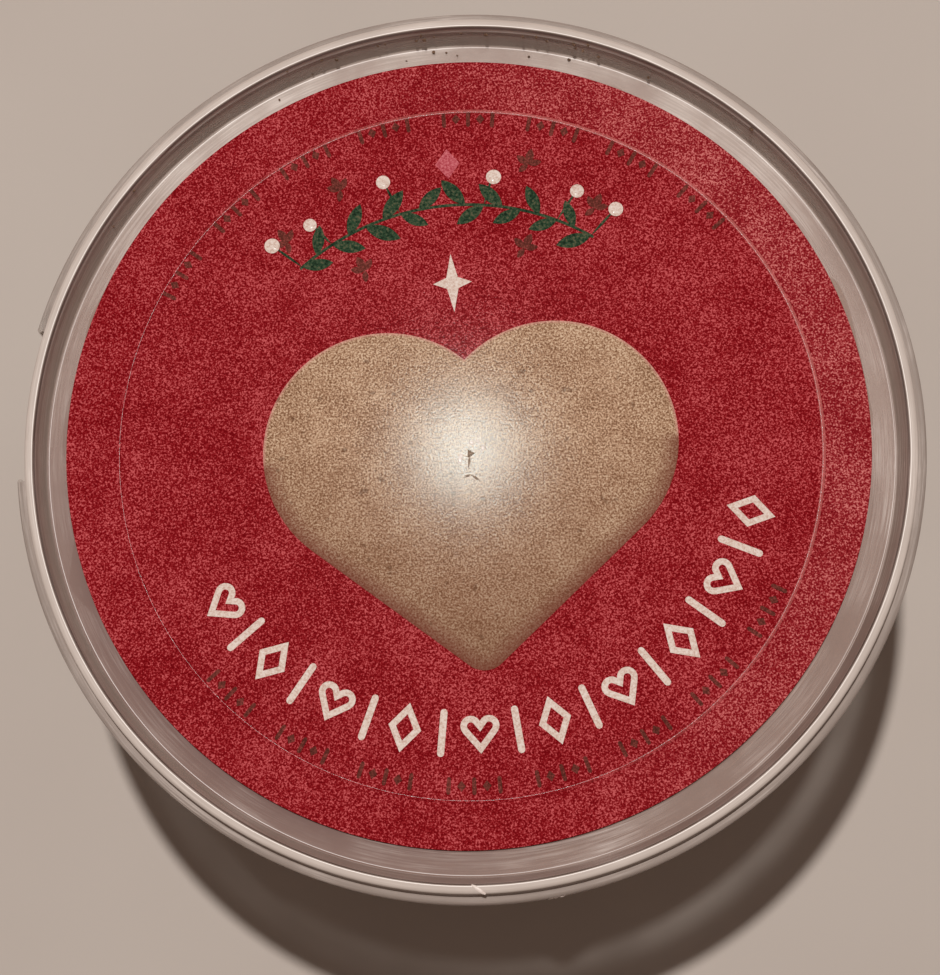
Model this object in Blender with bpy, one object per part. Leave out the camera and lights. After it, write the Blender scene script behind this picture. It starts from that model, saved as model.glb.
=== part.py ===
"""Round clear plastic biscuit tub, shut with its press-on lid and full of heart-shaped biscuits.

Metres, +Z up. The origin is the middle of the tub's underside. The lid's grip gap points to -X,
and the point of the heart printed on the round label points to -Y.
"""
import math
import random

import bmesh
import bpy
import numpy as np
from mathutils import Matrix, Vector

# Whole object: its height, sides of a turned shape, and the gap between touching pieces
HEIGHT = 0.082
SEGMENTS = 60
GAP = 0.0003
MERGE_DISTANCE = 1e-6
SHARP_ANGLE = math.radians(30.0)

# Lid: a sunk panel, a near-upright inner wall, a narrow ridge, and a skirt over the tub's rim
LID_RADIUS = 0.0825
LID_WALL = 0.0007
RIDGE_OUTER_RADIUS = 0.0807
RIDGE_INNER_RADIUS = 0.0791
RIDGE_ROUNDING = 0.0004
RIDGE_STEP = 0.0022
PANEL_DEPTH = 0.0060
PANEL_RADIUS = 0.0777
SKIRT_DEPTH = 0.0085
SKIRT_BEAD = 0.00035

# Grip gap in the lid's skirt, as angles round the tub from +X towards +Y
GRIP_START = math.radians(165.0)
GRIP_END = math.radians(185.0)
GRIP_STEPS = 4
CUT_MARGIN = 0.0015

# Tub: a thin tapered wall with a thicker rim, on a ring foot
WALL = 0.0009
RIM_OUTER_RADIUS = 0.0809
RIM_WALL = 0.0013
SHOULDER_DEPTH = 0.0095
SHOULDER_STEP = 0.0010
BASE_RADIUS = 0.0705
BASE_CORNER = 0.0030
OUTER_CORNER_STEPS = 3
INNER_CORNER_STEPS = 2
FOOT_WIDTH = 0.0050
FOOT_RISE = 0.0008

# Label, stuck on the lid's panel a little off its middle
LABEL_RADIUS = 0.0736
LABEL_THICKNESS = 0.0003
LABEL_OFFSET = (-0.0005, 0.0006)

# One biscuit: a heart of two round lobes, as parts of its width
BISCUIT_WIDTH = 0.036
BISCUIT_THICKNESS = 0.0065
LOBE_RADIUS = 0.276
TIP_REACH = 0.56
TIP_FLAT = 0.035
LOBE_STEPS = 5

# How biscuits come to rest: tries for each, moves in one fall, and how far one sinks in another
HEAP_SEED = 14
TRIES = 60
FALL_STEPS = 5
BITE = 0.0004
GRID_STEP = 0.0016
WALL_CLEARANCE = 0.0006

# Biscuits flat on the floor
FLOOR_COUNT = 13
FLOOR_LAYER = 0.0085
FLOOR_TILT = 0.03

# Biscuits round the wall, in rows of one height and one share of a step round
WALL_ROWS = ((0.026, 0.0), (0.058, 0.5), (0.042, 0.2), (0.028, 0.5), (0.055, 0.0))
WALL_ROW_COUNT = 12
WALL_STRAY = 0.12
WALL_STRAY_HEIGHT = 0.004
WALL_TILT = 0.55
WALL_START = 0.040
WALL_TOP = 0.0742
WALL_SHOW = 0.030

# Biscuits on top, and the core under them all
TOP_COUNT = 18
TOP_TILT = 0.3
MIDDLE_REACH = 0.056
CORE_MARGIN = 0.0080
CORE_TOP = 0.056

# Heights that follow
PANEL_TOP = HEIGHT - PANEL_DEPTH
PANEL_UNDERSIDE = PANEL_TOP - LID_WALL
STEP_HEIGHT = HEIGHT - RIDGE_STEP
STEP_UNDERSIDE = STEP_HEIGHT - LID_WALL
RIM_HEIGHT = STEP_UNDERSIDE - GAP
FLOOR_HEIGHT = FOOT_RISE + WALL
SHOULDER_HEIGHT = RIM_HEIGHT - SHOULDER_DEPTH
HEAP_TOP = PANEL_UNDERSIDE - WALL_CLEARANCE


def plain_material(name, colour, roughness, transmission=0.0):
    """A Principled material of one colour."""
    material = bpy.data.materials.new(name)
    material.use_nodes = True
    shader = material.node_tree.nodes["Principled BSDF"]
    shader.inputs["Base Color"].default_value = (*colour, 1.0)
    shader.inputs["Roughness"].default_value = roughness
    shader.inputs["Metallic"].default_value = 0.0
    shader.inputs["Transmission Weight"].default_value = transmission
    return material


def new_object(name, mesh, material):
    """Put a mesh in the scene, shaded smooth between its sharp edges."""
    mesh.materials.append(material)
    mesh.shade_smooth()
    mesh.set_sharp_from_angle(angle=SHARP_ANGLE)
    item = bpy.data.objects.new(name, mesh)
    bpy.context.collection.objects.link(item)
    return item


def turned(name, profile, material):
    """Turn a profile of (radius, height) points, which starts and ends on the axis, round +Z."""
    shape = bmesh.new()
    points = [shape.verts.new((radius, 0.0, height)) for radius, height in profile]
    edges = [shape.edges.new(pair) for pair in zip(points, points[1:])]
    bmesh.ops.spin(shape, geom=points + edges, cent=(0, 0, 0), axis=(0, 0, 1),
                   angle=2 * math.pi, steps=SEGMENTS, use_merge=True)
    bmesh.ops.remove_doubles(shape, verts=shape.verts[:], dist=MERGE_DISTANCE)
    bmesh.ops.dissolve_degenerate(shape, edges=shape.edges[:], dist=MERGE_DISTANCE)
    bmesh.ops.recalc_face_normals(shape, faces=shape.faces[:])
    mesh = bpy.data.meshes.new(name)
    shape.to_mesh(mesh)
    shape.free()
    return new_object(name, mesh, material)


def arc(centre, radius, start, end, steps):
    """Points along an arc in the profile's plane, with both ends."""
    angles = [start + (end - start) * step / steps for step in range(steps + 1)]
    return [(centre[0] + radius * math.cos(a), centre[1] + radius * math.sin(a)) for a in angles]


def inner_wall_radius(height):
    """Inside radius of the tapered wall at a height between the floor and the shoulder."""
    top = RIM_OUTER_RADIUS - SHOULDER_STEP - WALL
    bottom = BASE_RADIUS - WALL
    share = (height - BASE_CORNER) / (SHOULDER_HEIGHT - BASE_CORNER)
    return bottom + (top - bottom) * share


def build_tub(material):
    """The tub's thin wall: down the outside, under the foot, and up the inside to the rim."""
    outer_shoulder = RIM_OUTER_RADIUS - SHOULDER_STEP
    foot_radius = BASE_RADIUS - BASE_CORNER
    outside = [
        (RIM_OUTER_RADIUS - GAP, RIM_HEIGHT),
        (RIM_OUTER_RADIUS, RIM_HEIGHT - GAP),
        (RIM_OUTER_RADIUS, SHOULDER_HEIGHT + SHOULDER_STEP),
        (outer_shoulder, SHOULDER_HEIGHT),
    ]
    foot_centre = (foot_radius, BASE_CORNER)
    corner = arc(foot_centre, BASE_CORNER, 0.0, -math.pi / 2, OUTER_CORNER_STEPS)
    underside = [
        (foot_radius - FOOT_WIDTH, 0.0),
        (foot_radius - FOOT_WIDTH - FOOT_RISE, FOOT_RISE),
        (0.0, FOOT_RISE),
    ]
    inner_corner = BASE_CORNER - WALL
    floor_centre = (BASE_RADIUS - WALL - inner_corner, FLOOR_HEIGHT + inner_corner)
    floor = [(0.0, FLOOR_HEIGHT)]
    floor += arc(floor_centre, inner_corner, -math.pi / 2, 0.0, INNER_CORNER_STEPS)
    inside = [
        (outer_shoulder - WALL, SHOULDER_HEIGHT),
        (RIM_OUTER_RADIUS - RIM_WALL, SHOULDER_HEIGHT + 2 * SHOULDER_STEP),
        (RIM_OUTER_RADIUS - RIM_WALL, RIM_HEIGHT),
    ]
    profile = list(reversed(outside + corner + underside)) + list(reversed(floor + inside))
    return turned("tub", profile, material)


def ridge_wall_radius(height):
    """Radius of the lid's inner wall, on the panel's side, at a height."""
    share = (height - PANEL_TOP) / PANEL_DEPTH
    return PANEL_RADIUS + (RIDGE_INNER_RADIUS - PANEL_RADIUS) * share


def build_lid(material):
    """The lid's sheet: out over the panel, up and over the ridge, down the skirt, and back."""
    skirt_bottom = HEIGHT - SKIRT_DEPTH
    skirt_inner = LID_RADIUS - LID_WALL
    wall_foot = PANEL_TOP + RIDGE_ROUNDING
    upper = [
        (0.0, PANEL_TOP),
        (PANEL_RADIUS - RIDGE_ROUNDING, PANEL_TOP),
        (ridge_wall_radius(wall_foot), wall_foot),
        (RIDGE_INNER_RADIUS, HEIGHT - RIDGE_ROUNDING),
        (RIDGE_INNER_RADIUS + RIDGE_ROUNDING, HEIGHT),
        (RIDGE_OUTER_RADIUS - RIDGE_ROUNDING, HEIGHT),
        (RIDGE_OUTER_RADIUS, HEIGHT - RIDGE_ROUNDING),
        (RIDGE_OUTER_RADIUS, STEP_HEIGHT),
        (LID_RADIUS - RIDGE_ROUNDING, STEP_HEIGHT),
        (LID_RADIUS, STEP_HEIGHT - RIDGE_ROUNDING),
        (LID_RADIUS, skirt_bottom),
    ]
    lower = [
        (skirt_inner, skirt_bottom),
        (skirt_inner - SKIRT_BEAD, skirt_bottom + 2 * SKIRT_BEAD),
        (skirt_inner, skirt_bottom + 4 * SKIRT_BEAD),
        (skirt_inner, STEP_UNDERSIDE),
        (ridge_wall_radius(STEP_UNDERSIDE) + LID_WALL, STEP_UNDERSIDE),
        (PANEL_RADIUS + LID_WALL, PANEL_TOP),
        (PANEL_RADIUS, PANEL_UNDERSIDE),
        (0.0, PANEL_UNDERSIDE),
    ]
    lid = turned("lid", upper + lower, material)
    cut_grip_gap(lid)
    return lid


def cut_grip_gap(lid):
    """Take the step and the skirt away between the two ends of the grip gap."""
    inner = RIDGE_OUTER_RADIUS + GAP
    outer = LID_RADIUS + CUT_MARGIN
    step_angle = (GRIP_END - GRIP_START) / GRIP_STEPS
    angles = [GRIP_START + step_angle * step for step in range(GRIP_STEPS + 1)]
    outline = [(inner * math.cos(a), inner * math.sin(a)) for a in angles]
    outline += [(outer * math.cos(a), outer * math.sin(a)) for a in reversed(angles)]
    low = HEIGHT - SKIRT_DEPTH - CUT_MARGIN
    cutter = prism("grip_cutter", outline, low, HEIGHT)
    cutter.hide_render = True
    cutter.display_type = 'WIRE'
    cut = lid.modifiers.new("Grip gap", 'BOOLEAN')
    cut.operation = 'DIFFERENCE'
    cut.solver = 'EXACT'
    cut.object = cutter


def prism(name, outline, low, high):
    """An upright solid between two heights over an outline that runs counter-clockwise."""
    shape = bmesh.new()
    face = shape.faces.new([shape.verts.new((x, y, low)) for x, y in outline])
    raised = bmesh.ops.extrude_face_region(shape, geom=[face])
    top = [item for item in raised["geom"] if isinstance(item, bmesh.types.BMVert)]
    bmesh.ops.translate(shape, verts=top, vec=(0, 0, high - low))
    bmesh.ops.recalc_face_normals(shape, faces=shape.faces[:])
    mesh = bpy.data.meshes.new(name)
    shape.to_mesh(mesh)
    shape.free()
    item = bpy.data.objects.new(name, mesh)
    bpy.context.collection.objects.link(item)
    return item


def build_label(material):
    """The round label, a thin disc just above the lid's panel."""
    low = PANEL_TOP + GAP
    high = low + LABEL_THICKNESS
    profile = [(0.0, low), (LABEL_RADIUS, low), (LABEL_RADIUS, high), (0.0, high)]
    label = turned("label", profile, material)
    label.location = (*LABEL_OFFSET, 0.0)
    return label


def heart_outline():
    """The biscuit's outline, point towards -Y, with its middle at the origin."""
    lobe = LOBE_RADIUS * BISCUIT_WIDTH
    spread = BISCUIT_WIDTH / 2 - lobe
    tip = TIP_REACH * BISCUIT_WIDTH
    flat = TIP_FLAT * BISCUIT_WIDTH
    tangent = math.atan2(tip, spread) + math.acos(lobe / math.hypot(spread, tip)) - math.pi
    cleft = math.acos(-spread / lobe)
    half = [(flat, flat - tip)]
    for step in range(LOBE_STEPS + 1):
        angle = tangent + (cleft - tangent) * step / LOBE_STEPS
        half.append((spread + lobe * math.cos(angle), lobe * math.sin(angle)))
    middle = (lobe - tip) / 2
    points = half + [(-x, y) for x, y in reversed(half[:-1])]
    return [(x, y - middle) for x, y in points]


def grid_inside(outline, step):
    """Points of a square grid that lie inside an outline, found by counting crossings."""
    reach = max(abs(value) for point in outline for value in point)
    cells = np.arange(-reach, reach, step)
    across, along = [axis.ravel() for axis in np.meshgrid(cells, cells)]
    inside = np.zeros(len(across), dtype=bool)
    for (x0, y0), (x1, y1) in zip(outline, outline[1:] + outline[:1]):
        if y0 == y1:
            continue
        crosses = (y0 > along) != (y1 > along)
        inside ^= crosses & (across < x0 + (along - y0) * (x1 - x0) / (y1 - y0))
    return np.column_stack([across[inside], along[inside]])


def biscuit_points():
    """Points through a flat biscuit at the origin: its two faces, its middle and its edges."""
    outline = heart_outline()
    flat = np.vstack([grid_inside(outline, GRID_STEP), np.array(outline)])
    half = BISCUIT_THICKNESS / 2
    layers = [np.column_stack([flat, np.full(len(flat), z)]) for z in (-half, 0.0, half)]
    return np.vstack(layers)


class FlatBed:
    """What biscuits fall down onto, as a grid of heights over the tub's plan."""

    def __init__(self, level, lowest, highest):
        self.count = int(2 * RIM_OUTER_RADIUS / GRID_STEP) + 2
        self.surface = np.full((self.count, self.count), level)
        self.lowest = lowest
        self.highest = highest
        self.deepest = highest

    def locate(self, points):
        """The cell under each point, and each point's height."""
        index = (points[:, :2] / GRID_STEP + self.count / 2).astype(int)
        index = np.clip(index, 0, self.count - 1)
        return (index[:, 0], index[:, 1]), points[:, 2]

    def start(self, rng, _number):
        """Where a biscuit falls from, which way it falls, and the turn that lays it flat."""
        bearing = rng.uniform(0, 2 * math.pi)
        radius = MIDDLE_REACH * math.sqrt(rng.random())
        place = (radius * math.cos(bearing), radius * math.sin(bearing), HEIGHT)
        return np.array(place), np.array((0.0, 0.0, -1.0)), Matrix.Identity(3)


class WallBed:
    """What biscuits lean out against, as a grid of depths in from the tub's wall."""

    def __init__(self, lowest, highest):
        self.around = int(2 * math.pi * RIM_OUTER_RADIUS / GRID_STEP)
        self.surface = np.zeros((self.around, int(HEIGHT / GRID_STEP) + 1))
        self.lowest = lowest
        self.highest = highest
        self.deepest = WALL_SHOW

    def locate(self, points):
        """The cell of the wall behind each point, and each point's depth in from the wall."""
        share = np.arctan2(points[:, 1], points[:, 0]) / (2 * math.pi) % 1.0
        row = (points[:, 2] / GRID_STEP).astype(int)
        row = np.clip(row, 0, self.surface.shape[1] - 1)
        column = (share * self.around).astype(int) % self.around
        room = inner_wall_radius(points[:, 2]) - WALL_CLEARANCE
        return (column, row), room - np.hypot(points[:, 0], points[:, 1])

    def start(self, rng, number):
        """Where a biscuit starts, which way it moves, and the turn that sets it on the wall."""
        row_height, row_shift = WALL_ROWS[number // WALL_ROW_COUNT]
        share = (number + row_shift + rng.uniform(-WALL_STRAY, WALL_STRAY)) / WALL_ROW_COUNT
        bearing = 2 * math.pi * share
        height = row_height + rng.uniform(-1.0, 1.0) * WALL_STRAY_HEIGHT
        outward = np.array((math.cos(bearing), math.sin(bearing), 0.0))
        place = outward * WALL_START + np.array((0.0, 0.0, height))
        upright = Matrix.Rotation(bearing, 3, 'Z') @ Matrix.Rotation(math.pi / 2, 3, 'Y')
        return place, outward, upright


def inside_tub(points, bed):
    """Whether points are clear of the wall and between the heights that the bed allows."""
    height = points[:, 2]
    if height.min() < bed.lowest - GAP or height.max() > bed.highest:
        return False
    room = inner_wall_radius(height) - np.maximum(BASE_CORNER - height, 0.0) - GAP
    return bool(np.all(np.hypot(points[:, 0], points[:, 1]) < room))


def settle(bed, number, tilt_most, rng, biscuit):
    """Try places at random, and keep the one where the biscuit comes to rest closest in."""
    best = None
    angle = tilt_most * rng.random() ** 2
    for _ in range(TRIES):
        place, direction, flat_turn = bed.start(rng, number)
        lean = rng.uniform(0, 2 * math.pi)
        tilt = Matrix.Rotation(angle, 3, Vector((math.cos(lean), math.sin(lean), 0.0)))
        turn = flat_turn @ tilt @ Matrix.Rotation(rng.uniform(0, 2 * math.pi), 3, 'Z')
        points = biscuit @ np.array(turn).T + place
        for _ in range(FALL_STEPS):
            cells, level = bed.locate(points)
            move = direction * (level - bed.surface[cells]).min()
            points = points + move
            place = place + move
        if inside_tub(points, bed):
            cells, level = bed.locate(points)
            if level.mean() < (best[0] if best else bed.deepest):
                best = (level.mean(), cells, level, place, turn, points)
    return best


def lay_course(bed, count, tilt_most, rng, biscuit):
    """Settle a number of biscuits on a bed, one on the other, and give places and points."""
    places = []
    clouds = []
    for number in range(count):
        best = settle(bed, number, tilt_most, rng, biscuit)
        if best is None:
            continue
        _, cells, level, place, turn, points = best
        np.maximum.at(bed.surface, cells, level - BITE)
        places.append(Matrix.Translation(Vector(place)) @ turn.to_4x4())
        clouds.append(points)
    return places, clouds


def biscuit_places():
    """Every biscuit's place: the layer on the floor, those round the wall, and the top layer."""
    rng = random.Random(HEAP_SEED)
    biscuit = biscuit_points()
    floor_top = FLOOR_HEIGHT + FLOOR_LAYER
    floor_bed = FlatBed(FLOOR_HEIGHT + GAP, FLOOR_HEIGHT, floor_top)
    low_places, _ = lay_course(floor_bed, FLOOR_COUNT, FLOOR_TILT, rng, biscuit)
    wall_bed = WallBed(floor_top, WALL_TOP)
    wall_count = len(WALL_ROWS) * WALL_ROW_COUNT
    wall_places, clouds = lay_course(wall_bed, wall_count, WALL_TILT, rng, biscuit)
    core_face = CORE_TOP - BITE
    top_bed = FlatBed(core_face, core_face, HEAP_TOP)
    for points in clouds:
        cells, level = top_bed.locate(points)
        np.maximum.at(top_bed.surface, cells, level)
    top_places, _ = lay_course(top_bed, TOP_COUNT, TOP_TILT, rng, biscuit)
    return low_places + wall_places + top_places


def fuse_all(item, others):
    """Join meshes onto one by a single union of a collection, and take the others away."""
    group = bpy.data.collections.new("fused")
    bpy.context.scene.collection.children.link(group)
    for other in others:
        bpy.context.collection.objects.unlink(other)
        group.objects.link(other)
    fuse = item.modifiers.new("Fuse", 'BOOLEAN')
    fuse.operation = 'UNION'
    fuse.operand_type = 'COLLECTION'
    fuse.collection = group
    fuse.solver = 'EXACT'
    bpy.context.view_layer.update()
    evaluated = item.evaluated_get(bpy.context.evaluated_depsgraph_get())
    mesh = bpy.data.meshes.new_from_object(evaluated)
    item.modifiers.clear()
    item.data = mesh
    for other in others:
        bpy.data.objects.remove(other, do_unlink=True)
    bpy.data.collections.remove(group)


def build_biscuits(material):
    """The heap: a tapered core with the biscuits that show fused on."""
    low = FLOOR_HEIGHT + FLOOR_LAYER / 2
    profile = [
        (0.0, low),
        (inner_wall_radius(low) - CORE_MARGIN, low),
        (inner_wall_radius(CORE_TOP) - CORE_MARGIN, CORE_TOP),
        (0.0, CORE_TOP),
    ]
    core = turned("biscuits", profile, material)
    outline = heart_outline()
    half = BISCUIT_THICKNESS / 2
    hearts = []
    for number, place in enumerate(biscuit_places()):
        heart = prism(f"heart_{number}", outline, -half, half)
        heart.matrix_world = place
        hearts.append(heart)
    fuse_all(core, hearts)
    keep_largest_body(core.data)
    return core


def keep_largest_body(mesh):
    """Keep the one body that holds the most, so that sealed hollows and loose bits go."""
    shape = bmesh.new()
    shape.from_mesh(mesh)
    bmesh.ops.triangulate(shape, faces=shape.faces[:])
    seen = set()
    bodies = []
    for start in shape.faces:
        if start in seen:
            continue
        seen.add(start)
        body = [start]
        for face in body:
            for edge in face.edges:
                for other in edge.link_faces:
                    if other not in seen:
                        seen.add(other)
                        body.append(other)
        bodies.append(body)
    largest = max(bodies, key=len)
    keep = set(largest)
    spare = [face for face in shape.faces if face not in keep]
    bmesh.ops.delete(shape, geom=spare, context='FACES')
    shape.to_mesh(mesh)
    shape.free()


def main():
    for item in list(bpy.data.objects):
        bpy.data.objects.remove(item, do_unlink=True)
    clear = plain_material("clear plastic", (0.86, 0.85, 0.83), 0.16, transmission=0.9)
    printed = plain_material("printed film", (0.33, 0.03, 0.04), 0.42)
    baked = plain_material("baked biscuit", (0.48, 0.31, 0.17), 0.85)
    build_tub(clear)
    build_lid(clear)
    build_label(printed)
    build_biscuits(baked)


main()
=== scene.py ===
# %% [markdown]
# # A clear plastic tub of heart-shaped biscuits
#
# The pack is a round tub of clear plastic, shut with a clear lid. A red printed label with the picture of
# a biscuit lies in the lid's sunk panel, and heart-shaped biscuits fill the tub.
#
# The solids of the tub, the lid, the label and the heap of biscuits are already there, at their real size.
# They come in first, and everything below is made around them. Lengths are in metres.

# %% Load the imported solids
import math
import random

import bpy
import numpy as np
from mathutils import Matrix, Vector


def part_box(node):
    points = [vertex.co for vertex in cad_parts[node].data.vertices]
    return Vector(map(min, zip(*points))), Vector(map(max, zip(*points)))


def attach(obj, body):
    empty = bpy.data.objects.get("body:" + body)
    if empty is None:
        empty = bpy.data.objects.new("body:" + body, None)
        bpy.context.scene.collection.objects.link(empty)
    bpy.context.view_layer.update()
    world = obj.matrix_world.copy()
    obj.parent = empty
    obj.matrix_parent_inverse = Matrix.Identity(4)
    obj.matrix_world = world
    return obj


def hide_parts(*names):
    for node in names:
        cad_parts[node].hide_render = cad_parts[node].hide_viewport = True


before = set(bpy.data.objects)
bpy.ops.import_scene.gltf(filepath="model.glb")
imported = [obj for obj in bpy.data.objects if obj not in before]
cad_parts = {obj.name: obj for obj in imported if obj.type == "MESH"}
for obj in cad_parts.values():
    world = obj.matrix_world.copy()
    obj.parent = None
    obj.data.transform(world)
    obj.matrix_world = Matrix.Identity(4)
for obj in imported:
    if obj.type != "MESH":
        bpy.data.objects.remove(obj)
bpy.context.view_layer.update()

MM = 0.001
BODY = "root"

# %% [markdown]
# ## Sizes from the solids
#
# A good habit is to read a size from what is already modelled, and to type only what can't be read. The
# boxes round the solids give the heights and the widths. The walls, roundings and steps are typed here
# once, and are the same as in the solids.

# %% Read the main sizes
lid_low, lid_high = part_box("lid")
_, tub_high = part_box("tub")
label_low, label_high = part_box("label")

LID_RADIUS = lid_high.y
LID_TOP = lid_high.z
SKIRT_BOTTOM = lid_low.z
LID_WALL = 0.7 * MM
PANEL_TOP = LID_TOP - 6.0 * MM
PANEL_RADIUS = 77.7 * MM
RIDGE_INNER_RADIUS = 79.1 * MM
RIDGE_OUTER_RADIUS = 80.7 * MM
STEP_HEIGHT = LID_TOP - 2.2 * MM
STEP_UNDERSIDE = STEP_HEIGHT - LID_WALL
PANEL_UNDERSIDE = PANEL_TOP - LID_WALL
SKIRT_BEAD = 0.35 * MM

RIM_RADIUS = tub_high.x
RIM_TOP = tub_high.z
RIM_WALL = 1.3 * MM
WALL = 0.9 * MM
SHOULDER_STEP = 1.0 * MM
SHOULDER_HEIGHT = RIM_TOP - 9.5 * MM
BASE_RADIUS = 70.5 * MM
BASE_CORNER = 3.0 * MM
FOOT_WIDTH = 5.0 * MM
FOOT_RISE = 0.8 * MM
FLOOR_HEIGHT = FOOT_RISE + WALL

LABEL_RADIUS = (label_high.x - label_low.x) / 2
LABEL_CENTRE = ((label_high.x + label_low.x) / 2, (label_high.y + label_low.y) / 2)
LABEL_TOP = label_high.z
print("lid", LID_RADIUS, "label", LABEL_RADIUS, "label centre", LABEL_CENTRE, "label top", LABEL_TOP)

# %% [markdown]
# ## Helpers for working by hand
#
# Most tools in edit mode act on whatever is selected. These helpers keep that under control: nothing is
# selected when a new primitive comes in, and edit mode is always left again.

# %% Selecting and finishing
SHARP_ANGLE = math.radians(32)
BEVEL_ANGLE = math.radians(60)
MERGE_DISTANCE = 0.001 * MM


def start_clean():
    """Leaves edit mode and deselects everything."""
    if bpy.context.object and bpy.context.object.mode != 'OBJECT':
        bpy.ops.object.mode_set(mode='OBJECT')
    bpy.ops.object.select_all(action='DESELECT')


def pick(piece):
    """Makes one piece the only selected and active one."""
    start_clean()
    piece.select_set(True)
    bpy.context.view_layer.objects.active = piece


def pick_top(piece):
    """Enters edit mode with only those faces selected that look straight up."""
    pick(piece)
    bpy.ops.object.mode_set(mode='EDIT')
    bpy.ops.mesh.select_all(action='DESELECT')
    bpy.ops.object.mode_set(mode='OBJECT')
    for face in piece.data.polygons:
        face.select = face.normal.z > 0.9
    bpy.ops.object.mode_set(mode='EDIT')


def settle(piece):
    """Puts the piece's place, turn and size into its mesh."""
    pick(piece)
    bpy.ops.object.transform_apply(location=True, rotation=True, scale=True)
    return piece


def smooth(piece, angle=SHARP_ANGLE):
    """Shades a piece smooth, but for edges sharper than the angle."""
    pick(piece)
    bpy.ops.object.shade_smooth_by_angle(angle=angle)
    return piece


def bake_modifiers(piece):
    """Applies every modifier on a piece, from the top down."""
    pick(piece)
    for modifier in list(piece.modifiers):
        bpy.ops.object.modifier_apply(modifier=modifier.name)
    return piece


def soften(piece, width):
    """Rounds a piece's sharp edges with a Bevel modifier."""
    bevel = piece.modifiers.new("Soft rims", 'BEVEL')
    bevel.width = width
    bevel.segments = 3
    bevel.limit_method = 'ANGLE'
    bevel.angle_limit = BEVEL_ANGLE
    return bake_modifiers(piece)


def copy_of(original, name):
    """A copy of a piece with its own mesh."""
    copy = bpy.data.objects.new(name, original.data.copy())
    bpy.context.collection.objects.link(copy)
    return copy


def join(pieces, name):
    """Joins pieces into one mesh under a name."""
    start_clean()
    for piece in pieces:
        piece.select_set(True)
    bpy.context.view_layer.objects.active = pieces[0]
    bpy.ops.object.join()
    joined = bpy.context.object
    joined.name = name
    joined.data.name = name
    return joined


def finish_piece(piece, material, replaced=()):
    """Gives a piece its finish, fastens it to the body, and hides the solids that it stands for."""
    piece.data.materials.clear()
    piece.data.materials.append(material)
    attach(piece, BODY)
    if replaced:
        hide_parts(*replaced)
    print(piece.name, "faces", len(piece.data.polygons), "size mm",
          [round(side / MM, 2) for side in piece.dimensions])


# %% [markdown]
# ## Drawing an outline, then turning or raising it
#
# The tub, the lid and the label are round, so each is one profile turned about the upright axis. By hand
# that is: shrink a plane to a single point, extrude the point from corner to corner, and spin the line all
# the way round. The hearts, leaves and other flat shapes start the same way, but their line is closed,
# filled with a face and extruded upwards.
#
# A moulded corner is never quite sharp. `rounded` swaps a corner for a short arc, because the thin bright
# lines that show on clear plastic are the lights mirrored in those small roundings. A narrow support strip
# on both sides of each arc keeps the smooth shading of the arc from spilling over the flat parts, which
# would otherwise mirror the lamp as if they were curved.

# %% Outline tools
TURN_STEPS = 192
CORNER_STEPS = 5
SUPPORT = 0.3


def rounded(corners, support=SUPPORT):
    """Swaps each (across, up, rounding) corner for an arc that touches both of its sides.

    The support strips beside the arc are as wide as this share of its radius.
    """
    points = []
    for number, (across, up, radius) in enumerate(corners):
        corner = Vector((across, up))
        if radius == 0 or number in (0, len(corners) - 1):
            points.append(corner)
            continue
        before = (Vector(corners[number - 1][:2]) - corner).normalized()
        after = (Vector(corners[number + 1][:2]) - corner).normalized()
        half = before.angle(after) / 2
        centre = corner + (before + after).normalized() * radius / math.sin(half)
        start = corner + before * radius / math.tan(half) - centre
        end = corner + after * radius / math.tan(half) - centre
        sweep = math.atan2(start.x * end.y - start.y * end.x, start.dot(end))
        arc = [centre + Matrix.Rotation(sweep * step / CORNER_STEPS, 2) @ start
               for step in range(CORNER_STEPS + 1)]
        if support:
            arc = [arc[0] + before * radius * support] + arc + [arc[-1] + after * radius * support]
        points += arc
    return points


def close_up(merge=False):
    """Merges doubled points where asked, turns every face outwards, and leaves edit mode."""
    bpy.ops.mesh.select_all(action='SELECT')
    if merge:
        bpy.ops.mesh.remove_doubles(threshold=MERGE_DISTANCE)
    bpy.ops.mesh.normals_make_consistent(inside=False)
    bpy.ops.object.mode_set(mode='OBJECT')


def extrude_up(height):
    """Extrudes everything straight up."""
    bpy.ops.mesh.select_all(action='SELECT')
    bpy.ops.mesh.extrude_region_move(TRANSFORM_OT_translate={"value": (0, 0, height)})


def draw_line(name, points):
    """Extrudes one point along a list of points, and stays in edit mode with the line's last point picked."""
    start_clean()
    bpy.ops.mesh.primitive_plane_add(size=MM, location=(0, 0, 0))
    piece = bpy.context.object
    piece.name = name
    piece.data.name = name
    bpy.ops.object.mode_set(mode='EDIT')
    bpy.ops.mesh.merge(type='CENTER')
    bpy.ops.transform.translate(value=points[0])
    for before, after in zip(points, points[1:]):
        bpy.ops.mesh.extrude_region_move(TRANSFORM_OT_translate={"value": Vector(after) - Vector(before)})
    return piece


def turn(name, profile, steps=TURN_STEPS):
    """Turns a profile of (radius, height) points, which starts and ends on the axis, into a closed shape."""
    piece = draw_line(name, [(radius, 0.0, height) for radius, height in profile])
    bpy.ops.mesh.select_all(action='SELECT')
    bpy.ops.mesh.spin(steps=steps, angle=2 * math.pi, center=(0, 0, 0), axis=(0, 0, 1))
    close_up(merge=True)
    return piece


def raise_outline(name, outline, low, high):
    """Closes a flat outline, fills it and extrudes it from one height to another."""
    piece = draw_line(name, [(x, y, low) for x, y in outline])
    bpy.ops.mesh.select_all(action='SELECT')
    bpy.ops.mesh.edge_face_add()
    extrude_up(high - low)
    close_up()
    return piece


# %% [markdown]
# ## Helpers for materials
#
# Every finish here is made of nodes that read Object coordinates, so it needs no picture and no unwrapping.
# Colours are typed as they look on a screen, from 0 to 255, and turned into the linear values that the
# shader works in.

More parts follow.
